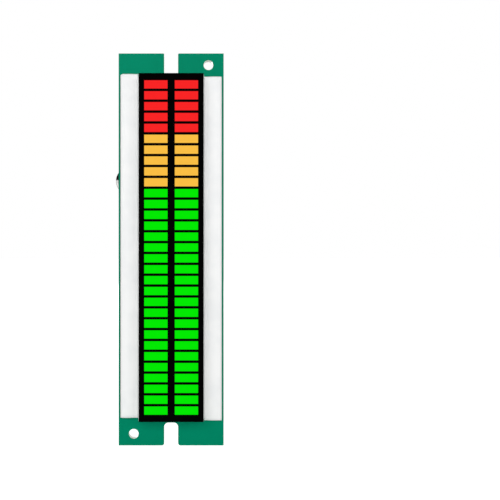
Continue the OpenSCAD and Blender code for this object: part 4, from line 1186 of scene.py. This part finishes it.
# Painted highlight: the stripe is near white along its edge at the fold. Painted shade: it is near
# black on the sleeve's side.
stain(sleeve_film, (0.9, 0.9, 0.9), on_stripe, at_edge)
stain(sleeve_film, (0.03, 0.026, 0.026), on_stripe, stripe_side_shade)
for angle, half_angle, distance, half_width in MINUS_MARKS:
    start, end = math.radians(angle - half_angle), math.radians(angle + half_angle)
    inner, outer = distance - half_width, distance + half_width
    stain(
        sleeve_film, (0.008, 0.006, 0.007),
        between(sleeve_tree, sleeve_place["Angle"], start, end, 0.05),
        between(sleeve_tree, sleeve_place["Distance"], inner, outer, 0.04),
    )
dress("capacitor_can", can_metal)
dress("capacitor_sleeve", sleeve_film)
dress("capacitor_bung", finish(
    "bung rubber", (0.02, 0.02, 0.02), (0.028, 0.027, 0.026), 1, 0.1, 0.8
))
dress("capacitor_leads", tin_plate)

# Plug-in header. Natural nylon, moulded round four square tinned pins, with a keying slot
# in each end wall. The nylon lets light through its walls. On top of that, the moulding has
# a painted glow and its floor is painted lighter as light.
cream_nylon = finish(
    "natural nylon", (0.9, 0.8, 0.69), (0.86, 0.75, 0.63), 3, 0.15, 0.4, depth=0.003, gloss=0.15
)
# Painted light: the emission is a painted glow over the whole moulding.
set_shader(cream_nylon, {
    "Subsurface Weight": 0.4,
    "Subsurface Radius": (1.0, 0.75, 0.5),
    "Subsurface Scale": 1.5 * MM,
    "Emission Color": (0.93, 0.76, 0.6, 1),
    "Emission Strength": 0.2,
})
# Painted light: the floors of its recesses are painted lighter.
stain(cream_nylon, (1.0, 0.98, 0.95), sunk_in(cream_nylon, "header_housing"))
dress("header_housing", cream_nylon)
# Painted shade: the header's pins are painted dark, as they lie in shade down in its cavity.
dress("header_contacts", finish(
    "header pin tin", (0.28, 0.25, 0.21), (0.22, 0.19, 0.16), 0.4, 0.05, 0.4, metal=1.0
))

# Transistors and small chips. Tiny black mouldings on short tinned leads. Each lead stands
# on a pad that reaches out past it, in a bead of solder.
FOOT_LEVEL = 0.2
PAD_REACH = 0.45
PAD_MARGINS = (0.25, 0.1)
STAINED_ROWS = [(-9.3, 32.0), (4.5, -28.4)]
STAINED_ROW_REACH = 1.8
STAINS_ON_LEADS = [
    ((-9.1, 34.0), 0.8, (0.4, 0.27, 0.25)),
    ((-9.3, 31.3), 1.9, (0.8, 0.58, 0.38)),
    ((4.5, -25.6), 1.3, (0.4, 0.34, 0.27)),
    ((4.5, -28.6), 1.4, (0.45, 0.31, 0.17)),
    ((4.6, -34.9), 1.4, (0.16, 0.12, 0.09)),
]
STAINED_LINKS = [[(-10.3, 31.6), (-10.2, 30.5)], [(-8.3, 31.7), (-7.2, 30.6)]]
STAINED_LINK_SIZE = (0.3, 0.1)

dress_moulding(
    "transistor moulding", "transistor_bodies", (0.02, 0.009, 0.011), (0.01, 0.004, 0.006), 1.2
)
dress_moulding(
    "small chip moulding", "small_chip_bodies", (0.014, 0.009, 0.011), (0.008, 0.006, 0.008), 1.2
)
stained_tin, lead_highlight_faces = tinned(
    "flux-stained tin", (0.3, 0.24, 0.2), (0.22, 0.17, 0.13), (0.93, 0.87, 0.84)
)
# These recolour the painted highlight on the faces of the leads near each place; at the first place
# this only dims the highlight.
for place, reach, colour in STAINS_ON_LEADS:
    stain(stained_tin, colour, lead_highlight_faces, near(stained_tin, place, reach, 0.1))
dress("transistor_leads", stained_tin)
dress("small_chip_leads", stained_tin)


def nearest(place, others):
    return min(others, key=lambda other: math.dist(extent(other)[:2], place))


lead_pads, stained_pads = [], []
for kind in ("transistor", "small_chip"):
    bodies = solids_of(f"{kind}_bodies")
    for solid in solids_of(f"{kind}_leads"):
        x, y, width, height = extent([p for p in solid if p[2] < FOOT_LEVEL])
        away = 1 if y > extent(nearest(extent(solid)[:2], bodies))[1] else -1
        crests = ((-0.5, 0.5 * away, 0.3, 0.45, 0.13), (0.5, 0.35 * away, 0.3, 0.5, 0.13))
        shape = bead(
            (x, y + away * PAD_REACH / 2),
            width + PAD_MARGINS[0], height + PAD_REACH + PAD_MARGINS[1], crests,
        )
        in_stain = any(math.dist((x, y), place) < STAINED_ROW_REACH for place in STAINED_ROWS)
        (stained_pads if away < 0 and in_stain else lead_pads).append(shape)
solder_piece("lead_pads", lead_pads, pad_solder)
solder_piece("stained_lead_pads", stained_pads, flux_stained)
stained_bands = [ribbon(line, *STAINED_LINK_SIZE) for line in STAINED_LINKS]
make_piece("stained_links", stained_bands, flux_stained)

# Chip resistors and chip capacitors. Resistors are white ceramic with a dark glaze, and
# the capacitors are tan fired ceramic. The ends of both are dipped in silver and soldered.
END_REACH = 0.52
END_SPREAD = 0.1
END_CLIMB = 0.6
END_STEPS = 8
CLIMB_STEEPNESS = 2.5
CLIMB_SAG = 0.4
END_TAPER = 0.1
CORNER_CREST = 0.07
CREST_ACROSS, CREST_REACH_ACROSS = 0.62, 0.25
CREST_ALONG, CREST_REACH_ALONG = 0.6, 0.22


def dress_silver(name, node, colour, patch_colour, patch):
    """Finishes the dipped ends of chip parts, whose sides are painted dark as a reflection."""
    material = finish(name, colour, patch_colour, patch, 0.1, 0.3, metal=1.0)
    stain(material, (0.13, 0.09, 0.07), mask_of(material, squareness, start=0.95, end=0.5))
    dress(node, material)


dress("resistor_chips", finish("resistor ceramic", (0.8, 0.78, 0.74), (0.7, 0.68, 0.64), 0.5, 0.05))
dress("resistor_coats", finish(
    "dark glaze", (0.05, 0.033, 0.03), (0.19, 0.135, 0.115), 0.45, 0.08, 0.3, gloss=0.08
))
dress_silver(
    "dull soldered end", "resistor_caps", (0.42, 0.33, 0.28), (0.8, 0.7, 0.64), 0.35
)
dress("ceramic_chips", finish(
    "tan ceramic", (0.68, 0.36, 0.13), (0.52, 0.23, 0.065), 0.7, 0.05, 0.45, gloss=0.1
))
dress_silver(
    "bright soldered end", "ceramic_caps", (0.62, 0.55, 0.48), (0.9, 0.85, 0.8), 0.4
)


def end_fillet(cap, chip):
    """Solder that climbs the end of a chip part from its pad, in a hollow curve, and stands
    higher at its two outer corners."""
    cx, cy, cw, ch = extent(cap)
    bx, by = extent(chip)[:2]
    along = Vector((cx - bx, cy - by)).normalized()
    across = Vector((-along.y, along.x))
    half_width = (cw * abs(across.x) + ch * abs(across.y)) / 2 + END_SPREAD
    half_depth = (cw * abs(along.x) + ch * abs(along.y)) / 2
    top = max(p[2] for p in cap) * END_CLIMB
    start = Vector((cx, cy)) - along * half_depth
    rows = []
    for step in range(END_STEPS + 1):
        t = step / END_STEPS
        middle = start + along * (2 * half_depth + END_REACH * step / END_STEPS)
        row = []
        for lane in range(END_STEPS + 1):
            side = 2 * lane / END_STEPS - 1
            climb = (top - FOIL) * (1 - t) ** CLIMB_STEEPNESS * (1 - CLIMB_SAG * side ** 4)
            from_crest = (abs(side) - CREST_ACROSS) / CREST_REACH_ACROSS
            beyond_crest = (t - CREST_ALONG) / CREST_REACH_ALONG
            lift = climb + CORNER_CREST * math.exp(-(from_crest ** 2 + beyond_crest ** 2))
            place = middle + across * half_width * side * (1 - END_TAPER * t ** 4)
            row.append((*place, FOIL + lift * (1 - side ** 8) * (1 - t ** 8)))
        rows.append(row)
    return stood_on_board(rows)


fillets = []
for kind in ("resistor", "ceramic"):
    chips = solids_of(f"{kind}_chips")
    caps = solids_of(f"{kind}_caps")
    fillets += [end_fillet(cap, nearest(extent(cap)[:2], chips)) for cap in caps]
# Painted reflections: the end solder is dark, with brighter patches as painted glints.
end_solder = finish(
    "end solder", (0.12, 0.09, 0.065), (0.42, 0.34, 0.28), 0.35, 0.1, 0.3, spread=0.2, metal=1.0
)
solder_piece("chip_end_fillets", fillets, end_solder)

# Through joints. Molten solder wets each lead and its pad and freezes in a hollow cone.
# The display's joints are on the back, two of them stained with flux, and the other
# parts' joints are on the front.
JOINT_HEIGHT = 0.55
JOINT_TIP = 0.03
JOINT_STEPS = 8
LEAD_RADIUS = 0.2
RING_MARGIN = 0.08
BACK_JOINT_RADIUS = 0.56
FRONT_JOINT_RADIUS = 0.68
STAINED_ABOVE = 30
LIGHT_FROM_LEFT, LIGHT_FROM_ABOVE = 0.8, 0.6
LIT_FADE = (0.45, 0.75)


def joint(centre, sign, base, reach):
    """A hollow cone of solder on its pad. sign is 1 on the back and -1 on the front."""
    rim = reach + RING_MARGIN
    profile = [(LEAD_RADIUS / 2, base), (rim, base), (rim, base + sign * FOIL)]
    for step in range(JOINT_STEPS + 1):
        t = step / JOINT_STEPS
        radius = LEAD_RADIUS + (reach - LEAD_RADIUS) * (1 - t) ** 2
        profile.append((radius, base + sign * (FOIL + (JOINT_HEIGHT - FOIL) * t)))
    profile.append((LEAD_RADIUS / 2, base + sign * (JOINT_HEIGHT + JOINT_TIP)))
    return turned(profile, centre)


display_holes = centres_of(solids_of("display_pins"))
other_holes = list(dip_holes)
for node in ("trimmer_pins", "capacitor_leads", "header_contacts"):
    other_holes += centres_of(solids_of(node))
back_joints = [(place, joint(place, 1, 0, BACK_JOINT_RADIUS)) for place in display_holes]
front_joints = [joint(place, -1, -BACK_Y, FRONT_JOINT_RADIUS) for place in other_holes]
# Painted reflection: the joint solder is dark, and at some joints the side turned up and to the
# left gets a painted highlight.
joint_solder = finish(
    "joint solder", (0.085, 0.075, 0.05), (0.2, 0.15, 0.11), 1.6, 0.15, 0.3,
    spread=0.2, depth=0.006, metal=1.0,
)
joint_tree = joint_solder.node_tree
facing = axes_of(joint_tree, "Normal")
leftward = maths(joint_tree, "MULTIPLY", facing["X"], LIGHT_FROM_LEFT)
to_the_light = maths(joint_tree, "MULTIPLY_ADD", facing["Z"], LIGHT_FROM_ABOVE, leftward)
lit_side = fade(joint_tree, to_the_light, *LIT_FADE)
stain(joint_solder, (0.9, 0.78, 0.7), lit_side, mask_of(joint_solder, joint_by_joint))
clean_joints = [shape for place, shape in back_joints if place[1] < STAINED_ABOVE]
solder_fillets = solder_piece("solder_fillets", clean_joints + front_joints, joint_solder)
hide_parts("solder_joints")
stained_joints = [shape for place, shape in back_joints if place[1] > STAINED_ABOVE]
solder_piece("stained_joints", stained_joints, flux_stained)
